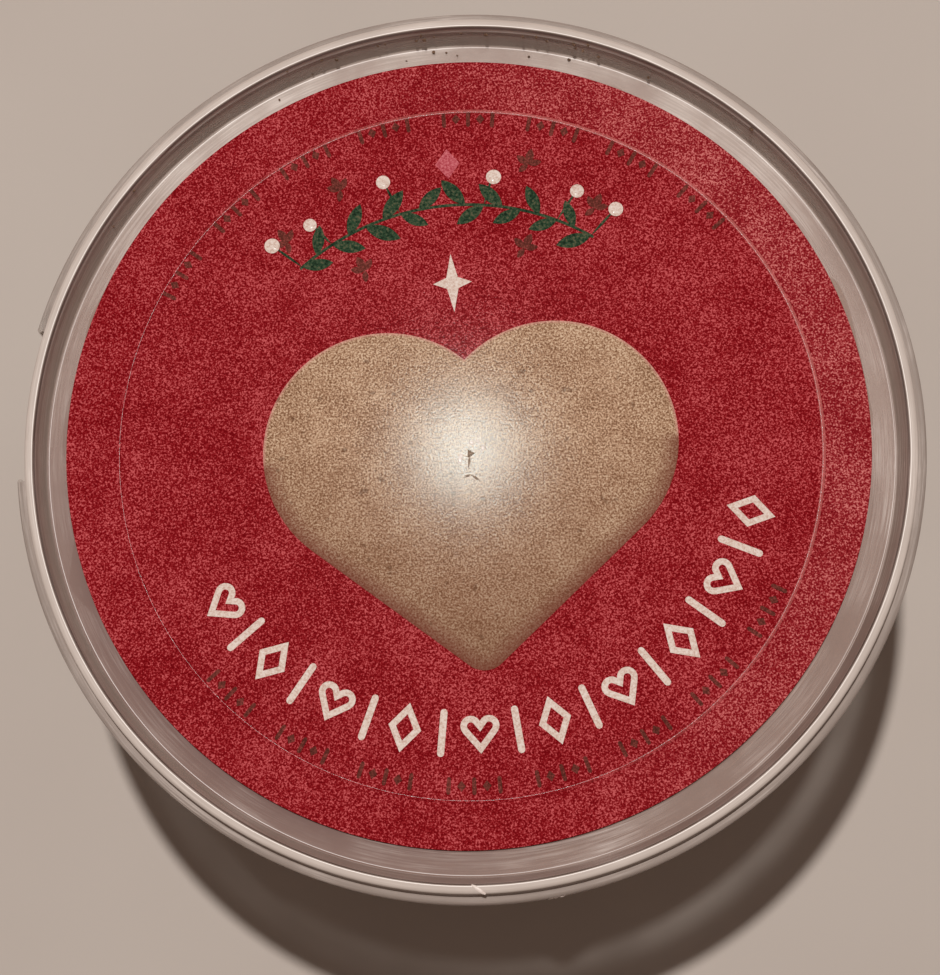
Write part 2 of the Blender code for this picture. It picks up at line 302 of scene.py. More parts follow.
# %% Material tools
def screen_colour(red, green, blue):
    """A screen colour as linear red, green, blue and alpha."""
    def linear(value):
        share = value / 255
        return share / 12.92 if share <= 0.04045 else ((share + 0.055) / 1.055) ** 2.4
    return (linear(red), linear(green), linear(blue), 1.0)


class Finish:
    """A node material, with short ways to add and wire nodes. Colours come in as screen colours."""

    def __init__(self, name):
        self.material = bpy.data.materials.new(name)
        self.material.use_nodes = True
        self.tree = self.material.node_tree
        self.shader = self.tree.nodes["Principled BSDF"]
        self.place = self.node('ShaderNodeTexCoord').outputs["Object"]

    def node(self, kind, **settings):
        made = self.tree.nodes.new(kind)
        for key, value in settings.items():
            setattr(made, key, value)
        return made

    def feed(self, value, socket):
        """Sets a socket to a plain number or screen colour, or wires another socket to it."""
        if isinstance(value, tuple):
            socket.default_value = screen_colour(*value)
        elif isinstance(value, (int, float)):
            socket.default_value = value
        else:
            self.tree.links.new(value, socket)

    def set(self, name, value):
        """Feeds one of the shader's own inputs."""
        self.feed(value, self.shader.inputs[name])

    def math(self, operation, first, second=0.0, third=0.0, clamp=False):
        """A Math node on sockets or plain numbers."""
        made = self.node('ShaderNodeMath', operation=operation, use_clamp=clamp)
        for socket, value in zip(made.inputs, (first, second, third)):
            self.feed(value, socket)
        return made.outputs[0]

    def times(self, first, second):
        """One value times another."""
        return self.math('MULTIPLY', first, second)

    def noise(self, size, detail=2.0, roughness=0.5, place=None):
        """Noise whose blotches are about `size` metres across."""
        made = self.node('ShaderNodeTexNoise')
        made.inputs["Scale"].default_value = 1 / size
        made.inputs["Detail"].default_value = detail
        made.inputs["Roughness"].default_value = roughness
        self.feed(place or self.place, made.inputs["Vector"])
        return made.outputs["Fac"]

    def ramp(self, value, stops):
        """Colours along a value, from (position, colour) stops. A number stands for a linear grey."""
        made = self.node('ShaderNodeValToRGB')
        elements = made.color_ramp.elements
        while len(elements) < len(stops):
            elements.new(0.5)
        for element, (position, colour) in zip(elements, stops):
            element.position = position
            element.color = screen_colour(*colour) if isinstance(colour, tuple) else (colour,) * 3 + (1.0,)
        self.feed(value, made.inputs["Fac"])
        return made.outputs["Color"]

    def spread(self, value, low, high, out_low=0.0, out_high=1.0):
        """Stretches part of a value's range to another range, and stops at its ends."""
        made = self.node('ShaderNodeMapRange', clamp=True)
        limits = {"From Min": low, "From Max": high, "To Min": out_low, "To Max": out_high}
        for name, number in limits.items():
            made.inputs[name].default_value = number
        self.feed(value, made.inputs["Value"])
        return made.outputs["Result"]

    def mix(self, share, first, second):
        """Mixes two colours, given as sockets or values."""
        made = self.node('ShaderNodeMix', data_type='RGBA')
        colours = [socket for socket in made.inputs if socket.type == 'RGBA']
        for socket, value in ((made.inputs[0], share), (colours[0], first), (colours[1], second)):
            self.feed(value, socket)
        return [socket for socket in made.outputs if socket.type == 'RGBA'][0]

    def axes(self):
        """Sockets with the place along X, Y and Z."""
        split = self.node('ShaderNodeSeparateXYZ')
        self.feed(self.place, split.inputs[0])
        return split.outputs

    def polar(self):
        """Sockets with the distance from the upright axis, the turn round it in radians, and the height."""
        x, y, z = self.axes()
        radius = self.math('SQRT', self.math('ADD', self.times(x, x), self.times(y, y)))
        return radius, self.math('ARCTAN2', y, x), z

    def towards(self, degrees, low, high):
        """One on the side that looks to a bearing, and less the further round from it."""
        _, bearing, _ = self.polar()
        nearness = self.math('COSINE', self.math('SUBTRACT', bearing, math.radians(degrees)))
        return self.spread(nearness, low, high)

    def bump(self, height, distance, strength=1.0):
        """Makes small relief from a value, as deep as `distance` metres."""
        made = self.node('ShaderNodeBump')
        made.inputs["Distance"].default_value = distance
        made.inputs["Strength"].default_value = strength
        self.feed(height, made.inputs["Height"])
        self.set("Normal", made.outputs["Normal"])


# %% [markdown]
# ## The finish of clear plastic
#
# Thin clear plastic is mostly not there. What the eye sees is a thin milky haze, thickest on the edges and
# on rubbed parts, bright lines in the roundings, and more haze where the wall is seen edge-on. It could be
# made with real refraction, but light then hardly reaches the biscuits inside. Alpha is the better choice
# here: the light passes straight through, and the amount of haze is a plain number that nodes can vary.
#
# The haze is set in rings, because a turned moulding wears in rings: clear in the walls, milky on the
# ridge. Fine rubbing marks that run round the tub are noise in polar coordinates, long round the axis and
# very narrow across it.

# %% Clear plastic
HAZE_EDGE_ON = 0.50
PLASTIC_IOR = 1.5
PLASTIC_SHINE = 0.32
RUB_LENGTH = 0.15
RUB_WIDTH = 0.34 * MM
RUB_COLOUR = (226, 214, 206)
SMOKY = (172, 154, 145)
ROSY = (194, 165, 153)
GREYISH = (188, 172, 162)
PALE = (214, 195, 183)
MILKY = (224, 210, 200)
# The next two colours are painted shade: a reddish shade beside the label, and a dark line at the top of the
# lid's inner wall.
REDDISH_SHADE = (110, 68, 60)
PAINTED_SHADE_LINE = (98, 80, 70)
# Bearings in degrees: where the painted sheen lies, where the painted reddish shade lies, where the wall's
# painted shade lies, and the upper end of the grip gap.
SHEEN_SIDE = 92
SHADED_SIDE = 225
SHADED_WALL_SIDE = 300
GAP_END_SIDE = 165
BESIDE_LABEL = (71.5 * MM, 76.5 * MM)
WALL_TOP_RADIUS = RIDGE_INNER_RADIUS - 0.3 * MM


def haze_and_painted_light(finish, haze, tint, cloud):
    """The sunk lid's haze and painted light: its new haze and colour, and how much painted shade each part of
    the panel has.

    The panel gets more haze and a painted sheen of milky white on the far side, and a painted reddish shade
    beside the label on the side towards 225 degrees. The wall round it is clearer on the far side and has
    painted shade at the front, and the skirt is clearer at the upper end of its gap.
    """
    radius, _, _ = finish.polar()
    panel = finish.math('LESS_THAN', radius, PANEL_RADIUS)
    wall = finish.math('SUBTRACT', finish.math('LESS_THAN', radius, WALL_TOP_RADIUS), panel)
    skirt = finish.math('GREATER_THAN', radius, RIDGE_OUTER_RADIUS)
    far_side = finish.towards(SHEEN_SIDE, 0.4, 0.75)
    # Painted sheen: on the far side the panel gets more haze and its colour is mixed towards milky white.
    painted_sheen = finish.times(finish.times(far_side, panel), finish.spread(cloud, 0.35, 0.65, 0.35, 1.0))
    # Painted shade: a dark reddish tint on the panel beside the label, on the side towards 225 degrees.
    beside_label = finish.spread(radius, *BESIDE_LABEL, 1.0, 0.6)
    painted_shade = finish.times(finish.times(finish.towards(SHADED_SIDE, 0.35, 0.95), panel), beside_label)
    # Painted shade on the front of the lid's inner wall.
    painted_wall_shade = finish.times(finish.towards(SHADED_WALL_SIDE, 0.3, 0.95), wall)
    gap_end = finish.times(finish.towards(GAP_END_SIDE, 0.998, 0.9998), skirt)
    for part, change in ((painted_sheen, 0.25), (finish.times(far_side, wall), -0.15), (painted_shade, 0.45),
                         (painted_wall_shade, 0.22), (gap_end, -0.35)):
        haze = finish.math('MULTIPLY_ADD', part, change, haze, clamp=True)
    tint = finish.mix(painted_sheen, tint, MILKY)
    tint = finish.mix(finish.math('MAXIMUM', painted_shade, finish.times(painted_wall_shade, 0.6)), tint, REDDISH_SHADE)
    return haze, tint, painted_shade


def clear_plastic(name, rings, rubbed, sunk=False):
    """Clear plastic with (radius, haze, milky colour) rings, and rubbing marks of a given strength.

    A lid with a sunk panel also gets more haze, a painted sheen and painted shade.
    """
    finish = Finish(name)
    radius, bearing, height = finish.polar()
    inmost, outmost = rings[0][0], rings[-1][0]
    share = finish.spread(radius, inmost, outmost)
    places = [(ring - inmost) / (outmost - inmost) for ring, _, _ in rings]
    haze = finish.ramp(share, [(place, amount) for place, (_, amount, _) in zip(places, rings)])
    tint = finish.ramp(share, [(place, colour) for place, (_, _, colour) in zip(places, rings)])
    wrapped = finish.node('ShaderNodeCombineXYZ')
    sizes = ((bearing, RUB_LENGTH), (radius, RUB_WIDTH), (height, RUB_WIDTH))
    for socket, (part, size) in zip(wrapped.inputs, sizes):
        finish.feed(finish.math('DIVIDE', part, size), socket)
    marks = finish.noise(1.0, detail=4.0, roughness=0.65, place=wrapped.outputs[0])
    cloud = finish.noise(14 * MM, detail=3.0)
    rub = finish.times(finish.spread(marks, 0.42, 0.72), finish.spread(cloud, 0.35, 0.75))
    if sunk:
        # The sunk lid gets more haze, its painted sheen and painted shade, and fewer rubbing marks where the
        # painted shade lies.
        haze, tint, painted_shade = haze_and_painted_light(finish, haze, tint, cloud)
        rub = finish.times(rub, finish.math('MULTIPLY_ADD', painted_shade, -0.7, 1.0))
    facing = finish.node('ShaderNodeLayerWeight')
    facing.inputs["Blend"].default_value = 0.35
    edge_on = finish.math('POWER', facing.outputs["Facing"], 3.0)
    alpha = finish.math('MULTIPLY_ADD', rub, rubbed, haze)
    finish.set("Alpha", finish.math('MULTIPLY_ADD', edge_on, HAZE_EDGE_ON, alpha, clamp=True))
    finish.set("Base Color", finish.mix(rub, tint, RUB_COLOUR))
    finish.set("Roughness", finish.spread(rub, 0.0, 1.0, 0.23, 0.31))
    finish.set("IOR", PLASTIC_IOR)
    finish.set("Specular IOR Level", PLASTIC_SHINE)
    return finish.material


# In the lid's rings, the dark ring from 78.92 to 79.1 mm, at the top of the inner wall, is a painted shade
# line.
lid_plastic = clear_plastic("lid_clear_plastic", [
    (70.0 * MM, 0.38, ROSY), (77.4 * MM, 0.38, ROSY), (78.0 * MM, 0.42, PALE), (78.84 * MM, 0.44, PALE),
    (78.92 * MM, 0.68, PAINTED_SHADE_LINE), (79.1 * MM, 0.68, PAINTED_SHADE_LINE), (79.25 * MM, 0.80, MILKY), (80.6 * MM, 0.78, MILKY),
    (80.9 * MM, 0.60, GREYISH), (82.3 * MM, 0.60, GREYISH), (82.5 * MM, 0.70, SMOKY)], 0.45, sunk=True)
tub_plastic = clear_plastic("tub_clear_plastic", [
    (60.0 * MM, 0.14, GREYISH), (70.0 * MM, 0.13, GREYISH), (78.6 * MM, 0.14, GREYISH),
    (79.3 * MM, 0.46, GREYISH), (81.0 * MM, 0.46, GREYISH)], 0.10)
print("plastics", lid_plastic.name, tub_plastic.name)

# %% [markdown]
# ## The tub
#
# The tub is a thin pot that tapers to its foot, so that empty tubs stack. A small shoulder under the rim
# stops them from jamming, and the foot is a flat ring, so that the tub doesn't rock. The whole wall is one
# closed profile: down the outside, under the foot, and up the inside.

# %% Turn the tub
outer_shoulder = RIM_RADIUS - SHOULDER_STEP
tub_profile = rounded([
    (0.0, FOOT_RISE, 0),
    (BASE_RADIUS - BASE_CORNER - FOOT_WIDTH - FOOT_RISE, FOOT_RISE, 0.3 * MM),
    (BASE_RADIUS - BASE_CORNER - FOOT_WIDTH, 0.0, 0.3 * MM),
    (BASE_RADIUS, 0.0, BASE_CORNER),
    (outer_shoulder, SHOULDER_HEIGHT, 0.5 * MM),
    (RIM_RADIUS, SHOULDER_HEIGHT + SHOULDER_STEP, 0.5 * MM),
    (RIM_RADIUS, RIM_TOP, 0.3 * MM),
    (RIM_RADIUS - RIM_WALL, RIM_TOP, 0.3 * MM),
    (RIM_RADIUS - RIM_WALL, SHOULDER_HEIGHT + 2 * SHOULDER_STEP, 0.5 * MM),
    (outer_shoulder - WALL, SHOULDER_HEIGHT, 0.5 * MM),
    (BASE_RADIUS - WALL, FLOOR_HEIGHT, BASE_CORNER - WALL),
    (0.0, FLOOR_HEIGHT, 0),
])
tub_shell = turn("tub_shell", tub_profile)
smooth(tub_shell)
finish_piece(tub_shell, tub_plastic, ["tub"])

# %% [markdown]
# ## The lid
#
# The lid is one sheet: a sunk panel for the label, a near-upright wall, a narrow ridge to lift it by, a
# step, and a skirt that grips the tub's rim. It is turned like the tub. The skirt stops on one side and
# leaves a gap for a fingertip. That gap is cut last, with a Boolean, by a small ring piece that is itself
# a rectangle spun through the angle of the gap.

# %% Turn the lid
NICK_PROUD = 0.06 * MM
skirt_inner = LID_RADIUS - LID_WALL


def ridge_wall_radius(height):
    """Radius of the lid's leaning inner wall at a height."""
    share = (height - PANEL_TOP) / (LID_TOP - PANEL_TOP)
    return PANEL_RADIUS + (RIDGE_INNER_RADIUS - PANEL_RADIUS) * share


lid_profile = rounded([
    (0.0, PANEL_UNDERSIDE, 0),
    (PANEL_RADIUS + LID_WALL / 2, PANEL_UNDERSIDE, 0.5 * MM),
    (ridge_wall_radius(STEP_UNDERSIDE) + LID_WALL, STEP_UNDERSIDE, 0.3 * MM),
    (skirt_inner, STEP_UNDERSIDE, 0.2 * MM),
    (skirt_inner, SKIRT_BOTTOM + 4 * SKIRT_BEAD, 0),
    (skirt_inner - SKIRT_BEAD, SKIRT_BOTTOM + 2 * SKIRT_BEAD, 0.2 * MM),
    (skirt_inner, SKIRT_BOTTOM, 0.1 * MM),
    (LID_RADIUS, SKIRT_BOTTOM, 0.25 * MM),
    (LID_RADIUS, STEP_HEIGHT, 0.45 * MM),
    (RIDGE_OUTER_RADIUS, STEP_HEIGHT, 0.3 * MM),
    (RIDGE_OUTER_RADIUS, LID_TOP - NICK_PROUD, 0.5 * MM),
    (RIDGE_INNER_RADIUS, LID_TOP - NICK_PROUD, 0.35 * MM),
    (PANEL_RADIUS, PANEL_TOP, 0.5 * MM),
    (0.0, PANEL_TOP, 0),
])
lid_shell = turn("lid_shell", lid_profile)

# %% Cut the grip gap
GRIP_START = math.radians(165)
GRIP_END = math.radians(185)
GRIP_MARGIN = 1.5 * MM
GRIP_STEPS = 24

cut_inner = RIDGE_OUTER_RADIUS + 0.3 * MM
cut_outer = LID_RADIUS + GRIP_MARGIN
cut_low = SKIRT_BOTTOM - GRIP_MARGIN
corners = [(cut_inner, cut_low), (cut_outer, cut_low), (cut_outer, LID_TOP), (cut_inner, LID_TOP)]
start_turn = Matrix.Rotation(GRIP_END, 3, 'Z')
cutter = draw_line("grip_cutter", [start_turn @ Vector((radius, 0, height)) for radius, height in corners])
bpy.ops.mesh.select_all(action='SELECT')
bpy.ops.mesh.edge_face_add()
bpy.ops.mesh.spin(steps=GRIP_STEPS, angle=GRIP_END - GRIP_START, center=(0, 0, 0), axis=(0, 0, 1))
close_up(merge=True)

gap_cut = lid_shell.modifiers.new("Grip gap", 'BOOLEAN')
gap_cut.operation = 'DIFFERENCE'
gap_cut.solver = 'EXACT'
gap_cut.object = cutter
bake_modifiers(lid_shell)
bpy.data.objects.remove(cutter)
smooth(lid_shell)
finish_piece(lid_shell, lid_plastic, ["lid"])

# %% [markdown]
# ### The ends of the skirt
#
# Where the skirt stops, the mould leaves a small upright rib at each end, which curls out as far as the
# skirt's face. A slim rounded post does it: a cylinder, bevelled at both ends, standing where the cut is.

# %% Ribs at the ends of the grip gap
RIB_RADIUS = 0.45 * MM
RIB_SIDES = 16
RIB_EDGE = 0.15 * MM
RIB_REACH = LID_RADIUS - RIB_RADIUS - 0.08 * MM
RIB_LOW = SKIRT_BOTTOM + 0.2 * MM
RIB_HIGH = STEP_HEIGHT - 0.1 * MM


def upright_post(radius, low, high, place, sides, edge):
    """A cylinder between two heights, with both of its rims bevelled."""
    start_clean()
    bpy.ops.mesh.primitive_cylinder_add(vertices=sides, radius=radius, depth=high - low,
                                        location=(place[0], place[1], (low + high) / 2))
    return soften(settle(bpy.context.object), edge)


frosted = Finish("frosted_plastic")
frosted.set("Base Color", (208, 194, 182))
frosted.set("Roughness", 0.4)
frosted.set("Alpha", 0.4)
ribs = []
for end in (GRIP_START, GRIP_END):
    spot = (RIB_REACH * math.cos(end), RIB_REACH * math.sin(end))
    ribs.append(upright_post(RIB_RADIUS, RIB_LOW, RIB_HIGH, spot, RIB_SIDES, RIB_EDGE))
grip_ribs = smooth(join(ribs, "grip_ribs"))
finish_piece(grip_ribs, frosted.material)

# %% [markdown]
# ### Wear on the lid
#
# A used lid is told from a new one by small damage. One bright nick crosses the ridge at the front, and
# the edge of the step is chipped beside it. Each is a small sliver that stands a few hundredths of a
# millimetre proud: an icosphere, squashed long and flat, because a burr of plastic has no flat sides.

# %% Nick and burr
NICK_SIZE = (3.1 * MM, 0.8 * MM, 0.2 * MM)
NICK_BEARING = math.radians(-88.4)
NICK_TURN = math.radians(-33)
BURR_BEARING = math.radians(-78.9)
CHIP_COUNT = 8
CHIP_STEP = 0.0045
CHIP_PROUD = 0.03 * MM
# This pale finish is whitened plastic on the nick and the chips, and a painted highlight on the flecks round
# the gate.
burr_and_glint_plastic = Finish("bruised_and_glint_plastic")
whitening_and_glint = burr_and_glint_plastic.spread(burr_and_glint_plastic.noise(0.6 * MM), 0.3, 0.7)
burr_and_glint_plastic.set("Base Color", burr_and_glint_plastic.mix(whitening_and_glint, (226, 208, 198), (252, 240, 232)))
burr_and_glint_plastic.set("Roughness", burr_and_glint_plastic.spread(whitening_and_glint, 0, 1, 0.25, 0.5))


def sliver(length, width, height, place, turn_by):
    """A long flat grain: an icosphere squashed to size, turned, and put in place."""
    start_clean()
    bpy.ops.mesh.primitive_ico_sphere_add(subdivisions=2, radius=0.5)
    grain = bpy.context.object
    grain.data.transform(Matrix.LocRotScale(place, Matrix.Rotation(turn_by, 3, 'Z'),
                                            Vector((length, width, height))))
    return grain


def on_ring(radius, bearing, height):
    """A point at a radius and a bearing round the tub."""
    return Vector((radius * math.cos(bearing), radius * math.sin(bearing), height))


ridge_middle = (RIDGE_INNER_RADIUS + RIDGE_OUTER_RADIUS) / 2
nick = sliver(*NICK_SIZE, on_ring(ridge_middle, NICK_BEARING, LID_TOP - NICK_SIZE[2] / 2), NICK_TURN)
nick.name = "ridge_nick"
smooth(nick)
finish_piece(nick, burr_and_glint_plastic.material)

rng = random.Random(5)
chips = []
for chip in range(CHIP_COUNT):
    bearing = BURR_BEARING + (chip - (CHIP_COUNT - 1) / 2) * CHIP_STEP + rng.uniform(-0.001, 0.001)
    spot = on_ring(LID_RADIUS + CHIP_PROUD, bearing, STEP_HEIGHT - rng.uniform(0.5, 3.2) * MM)
    length = rng.uniform(0.4, 0.9) * MM
    chips.append(sliver(length, 0.3 * MM, 0.4 * MM, spot, bearing + rng.uniform(1.0, 2.1)))
step_burr = smooth(join(chips, "step_burr"))
finish_piece(step_burr, burr_and_glint_plastic.material)

# %% [markdown]
# ## The label
#
# The label is a thin disc of satin film in the lid's panel. It is turned like the rest, but about its own
# middle, which isn't quite the lid's, because labels are rarely stuck dead centre. Its red ink isn't even:
# close up it is a salt-and-pepper of dark and light red grains, some of them pinkish.

# %% Red ink
GRAIN = 0.34 * MM
FILM_SHINE = 0.0102
FILM_ROUGHNESS = (0.06, 0.11)
FILM_RELIEF = 0.0068 * MM
FILM_TINT = (230, 253, 253)


def grained(finish, dark, middle, light, size=GRAIN, blotch=9 * MM, contrast=1.0):
    """A fine speckle of three colours, and the value that it follows."""
    fine = finish.noise(size, detail=2.0, roughness=0.7)
    wide = finish.noise(blotch, detail=2.0)
    value = finish.math('MULTIPLY_ADD', finish.math('SUBTRACT', wide, 0.5), 0.14, fine)
    stops = [(0.52 - 0.18 / contrast, dark), (0.52, middle), (0.52 + 0.16 / contrast, light)]
    return finish.ramp(value, stops), value


def print_ink(name, dark, middle, light, size=GRAIN, blotch=9 * MM, contrast=1.0):
    """Printed ink under the film's satin face, and its colour."""
    finish = Finish(name)
    colour, value = grained(finish, dark, middle, light, size, blotch, contrast)
    finish.set("Roughness", finish.spread(value, 0.3, 0.7, *FILM_ROUGHNESS))
    finish.set("Specular IOR Level", FILM_SHINE)
    finish.set("Specular Tint", FILM_TINT)
    finish.bump(value, FILM_RELIEF)
    finish.set("Base Color", colour)
    return finish, colour


PRESSED_RADIUS = 64.4 * MM
RED_GRAINS = ((120, 10, 18), (156, 28, 36), (216, 100, 104))
red_ink, red = print_ink("red_label_ink", *RED_GRAINS, contrast=1.3)
# Painted sheen: outside the pressed ring, on the side towards 20 degrees, the red is mixed towards a paler
# pink.
margin = red_ink.spread(red_ink.polar()[0], PRESSED_RADIUS - 1 * MM, PRESSED_RADIUS + 1 * MM)
painted_label_sheen = red_ink.times(red_ink.towards(20, -0.1, 0.9), margin)
sheen_pink_red, _ = grained(red_ink, (126, 18, 26), (166, 44, 51), (228, 134, 131), contrast=1.3)
red_ink.set("Base Color", red_ink.mix(painted_label_sheen, red, sheen_pink_red))

# %% Turn the label
LABEL_EDGE = 0.1 * MM
label_profile = rounded([
    (0.0, label_low.z, 0),
    (LABEL_RADIUS, label_low.z, LABEL_EDGE),
    (LABEL_RADIUS, LABEL_TOP, LABEL_EDGE),
    (0.0, LABEL_TOP, 0),
])
label_disc = turn("label_disc", label_profile)
label_disc.location = (*LABEL_CENTRE, 0)
settle(label_disc)
smooth(label_disc)
finish_piece(label_disc, red_ink.material, ["label"])

# %% [markdown]
# ### The ring pressed into the label
#
# The lid's panel has a faint ring moulded in it, and the film follows it, so that a thin line shows
# through the print. It is a torus sunk in the film until only a low crest stands out.

# %% Pressed ring
PRESSED_WIDTH = 0.34 * MM
PRESSED_CREST = 0.06 * MM
start_clean()
bpy.ops.mesh.primitive_torus_add(major_radius=PRESSED_RADIUS, minor_radius=PRESSED_WIDTH,
                                 major_segments=TURN_STEPS, minor_segments=12)
pressed_ring = bpy.context.object
pressed_ring.name = "pressed_ring"
flatter = (1, 1, PRESSED_CREST / PRESSED_WIDTH)
pressed_ring.data.transform(Matrix.LocRotScale((0, 0, LABEL_TOP), None, flatter))
smooth(pressed_ring, math.radians(180))
pressed_ink, pressed_red = print_ink("pressed_line_ink", *RED_GRAINS)
caught_light = pressed_ink.times(pressed_ink.towards(35, -0.4, 0.8), 0.42)
pressed_ink.set("Base Color", pressed_ink.mix(caught_light, pressed_red, (222, 140, 134)))
finish_piece(pressed_ring, pressed_ink.material)

# %% [markdown]
# ## The print
#
# A print is flat, but a flat colour with crisp edges is easiest to control as its own thin piece: each
# field of ink is an outline, filled and raised by a few hundredths of a millimetre. The pictures below are
# placed in the print's own frame, with its middle at the label's and turned a little, as the label is.

# %% Frame of the print
INK = 0.04 * MM
PRINT_TURN = math.radians(4.3)
print_frame = Matrix.Translation((*LABEL_CENTRE, LABEL_TOP)) @ Matrix.Rotation(PRINT_TURN, 4, 'Z')


def to_print(piece, across, up, turn_by=0.0, size=1.0):
    """Moves a piece drawn at the origin to its place in the print. A larger one also stands higher."""
    place = Matrix.Translation((across, up, 0)) @ Matrix.Rotation(turn_by, 4, 'Z')
    piece.data.transform(print_frame @ place @ Matrix.Diagonal((size, size, size, 1)))
    return piece


def copies(original, places, name):
    """Joins copies of one shape at (across, up, turn, size) places in the print, and removes the original."""
    made = [to_print(copy_of(original, name), *place) for place in places]
    bpy.data.objects.remove(original)
    return join(made, name)


def around(radius, degrees, tilt=0.0, size=1.0):
    """A place on an arc round the label's middle, turned to stand outwards."""
    angle = math.radians(degrees)
    return (radius * math.cos(angle), radius * math.sin(angle), angle - math.pi / 2 + tilt, size)


# %% [markdown]
# ### The heart
#
# The big heart is a picture of the biscuit. Two round lobes and the two straight lines that touch them and
# meet in the point give the outline. The picture has light too: a pale rim along the top of the biscuit,
# and a soft shadow inside its lower edges. To paint it, the face is inset several times and every ring of
# points remembers how near the edge it is, in an attribute that the material reads.

# %% Heart outline
TIP_STEPS = 8


def heart_outline(lobe, spread, tip, steps, soft=0.0):
    """A heart with lobes of radius `lobe` centred `spread` to each side, and its point `tip` below them.

    The point can be rounded with the radius `soft`.
    """
    tangent = math.atan2(tip, spread) + math.acos(lobe / math.hypot(spread, tip)) - math.pi
    cleft = math.acos(-spread / lobe)
    half = [(0.0, -tip)]
    if soft:
        middle = -tip - soft / math.sin(tangent)
        turns = [-math.pi / 2 + (tangent + math.pi / 2) * step / TIP_STEPS for step in range(TIP_STEPS)]
        half = [(soft * math.cos(turned), middle + soft * math.sin(turned)) for turned in turns]
    for step in range(steps + 1):
        angle = tangent + (cleft - tangent) * step / steps
        half.append((spread + lobe * math.cos(angle), lobe * math.sin(angle)))
    return half + [(-x, y) for x, y in reversed(half[1:-1])]


# %% Baked colours
baked_ink, tan = print_ink("baked_heart_ink", (130, 93, 67), (194, 155, 125),
                           (232, 204, 174), size=0.36 * MM, blotch=6 * MM, contrast=1.3)
darker = baked_ink.spread(baked_ink.axes()[1], -42 * MM, 4 * MM, 0.60, 0.0)
tan = baked_ink.mix(darker, tan, (118, 76, 56))
edge_near = baked_ink.node('ShaderNodeAttribute', attribute_name="edge_near").outputs["Fac"]
edge_up = baked_ink.node('ShaderNodeAttribute', attribute_name="edge_up").outputs["Fac"]
rim = baked_ink.times(baked_ink.spread(edge_near, 0.86, 1.0), edge_up)
shade = baked_ink.times(edge_near, baked_ink.math('SUBTRACT', 1.0, edge_up))
tan = baked_ink.mix(baked_ink.times(shade, 0.75), tan, (120, 58, 48))
tan = baked_ink.mix(baked_ink.times(rim, 0.7), tan, (228, 160, 150))
specks = baked_ink.spread(baked_ink.noise(1.9 * MM, detail=1.0), 0.70, 0.76)
tan = baked_ink.mix(baked_ink.times(specks, 0.6), tan, (110, 76, 54))
baked_ink.set("Base Color", tan)

# %% Print the heart
HEART_LOBE = 22.5 * MM
HEART_SPREAD = 15.5 * MM
HEART_TIP = 42.6 * MM
HEART_SOFT_TIP = 4.6 * MM
HEART_PLACE = (0.6 * MM, -0.6 * MM)
HEART_STEPS = 40
EDGE_RINGS = (0.35 * MM, 0.45 * MM, 0.7 * MM, 1.0 * MM, 1.3 * MM)

big_heart = heart_outline(HEART_LOBE, HEART_SPREAD, HEART_TIP, HEART_STEPS, HEART_SOFT_TIP)
heart_print = raise_outline("heart_print", big_heart, 0, INK)
pick_top(heart_print)
for ring in EDGE_RINGS:
    bpy.ops.mesh.inset(thickness=ring)
bpy.ops.object.mode_set(mode='OBJECT')

outline = np.array(big_heart)
starts, sides = outline, np.roll(outline, -1, axis=0) - outline
near = heart_print.data.attributes.new("edge_near", 'FLOAT', 'POINT')
up = heart_print.data.attributes.new("edge_up", 'FLOAT', 'POINT')
for vertex, near_value, up_value in zip(heart_print.data.vertices, near.data, up.data):
    offset = np.array(vertex.co[:2]) - starts
    along = np.clip((offset * sides).sum(1) / (sides * sides).sum(1), 0, 1)
    gaps = np.hypot(*(offset - sides * along[:, None]).T)
    closest = int(gaps.argmin())
    outward = math.atan2(-sides[closest][0], sides[closest][1])
    near_value.value = max(0.0, 1.0 - gaps[closest] / sum(EDGE_RINGS))
    up_value.value = 1.0 if math.sin(outward) > -0.1 else 0.0
to_print(heart_print, *HEART_PLACE)
finish_piece(heart_print, baked_ink.material)

# %% [markdown]
# ### Leaves and berries
#
# Above the heart runs a garland. One leaf is drawn, then copied along a curved twig, and each copy gets
# its own turn and size, so that the row doesn't look stamped. A leaf's outline is two shallow arcs that
# meet at both of its ends. The berries are low discs with a softened rim.

# %% Shapes of the garland
LEAF_LENGTH = 6.4 * MM
LEAF_WIDTH = 2.5 * MM
TWIG_RADIUS = 45.5 * MM
TWIG_WIDTH = 0.55 * MM
TWIG_REACH = 37
TWIG_MIDDLE = 92
LEAVES_A_SIDE = 8
FIRST_LEAF = 5.5
LEAF_STEP = 4.4
OUTER_LEAN = math.radians(-48)
INNER_LEAN = math.radians(-128)
BERRY_RADIUS = 1.35 * MM
BERRY_SIDES = 32
BERRY_STALKS = (1, 5, 7)
STALK_WIDTH = 0.5 * MM
STALK_LEAN = 1.6


def leaf_outline(length, width, steps=8):
    """Two arcs between the stalk's end at the origin and the tip at +Y."""
    side = [(width / 2 * math.sin(math.pi * step / steps) ** 0.8, length * step / steps)
            for step in range(steps + 1)]
    return side + [(-x, y) for x, y in reversed(side[1:-1])]


def arc_band(radius, width, start, end, steps):
    """The outline of a narrow band that follows an arc, from one angle in degrees to another."""
    angles = [math.radians(start + (end - start) * step / steps) for step in range(steps + 1)]
    outer = [((radius + width / 2) * math.cos(a), (radius + width / 2) * math.sin(a)) for a in angles]
    inner = [((radius - width / 2) * math.cos(a), (radius - width / 2) * math.sin(a)) for a in angles]
    return outer + inner[::-1]


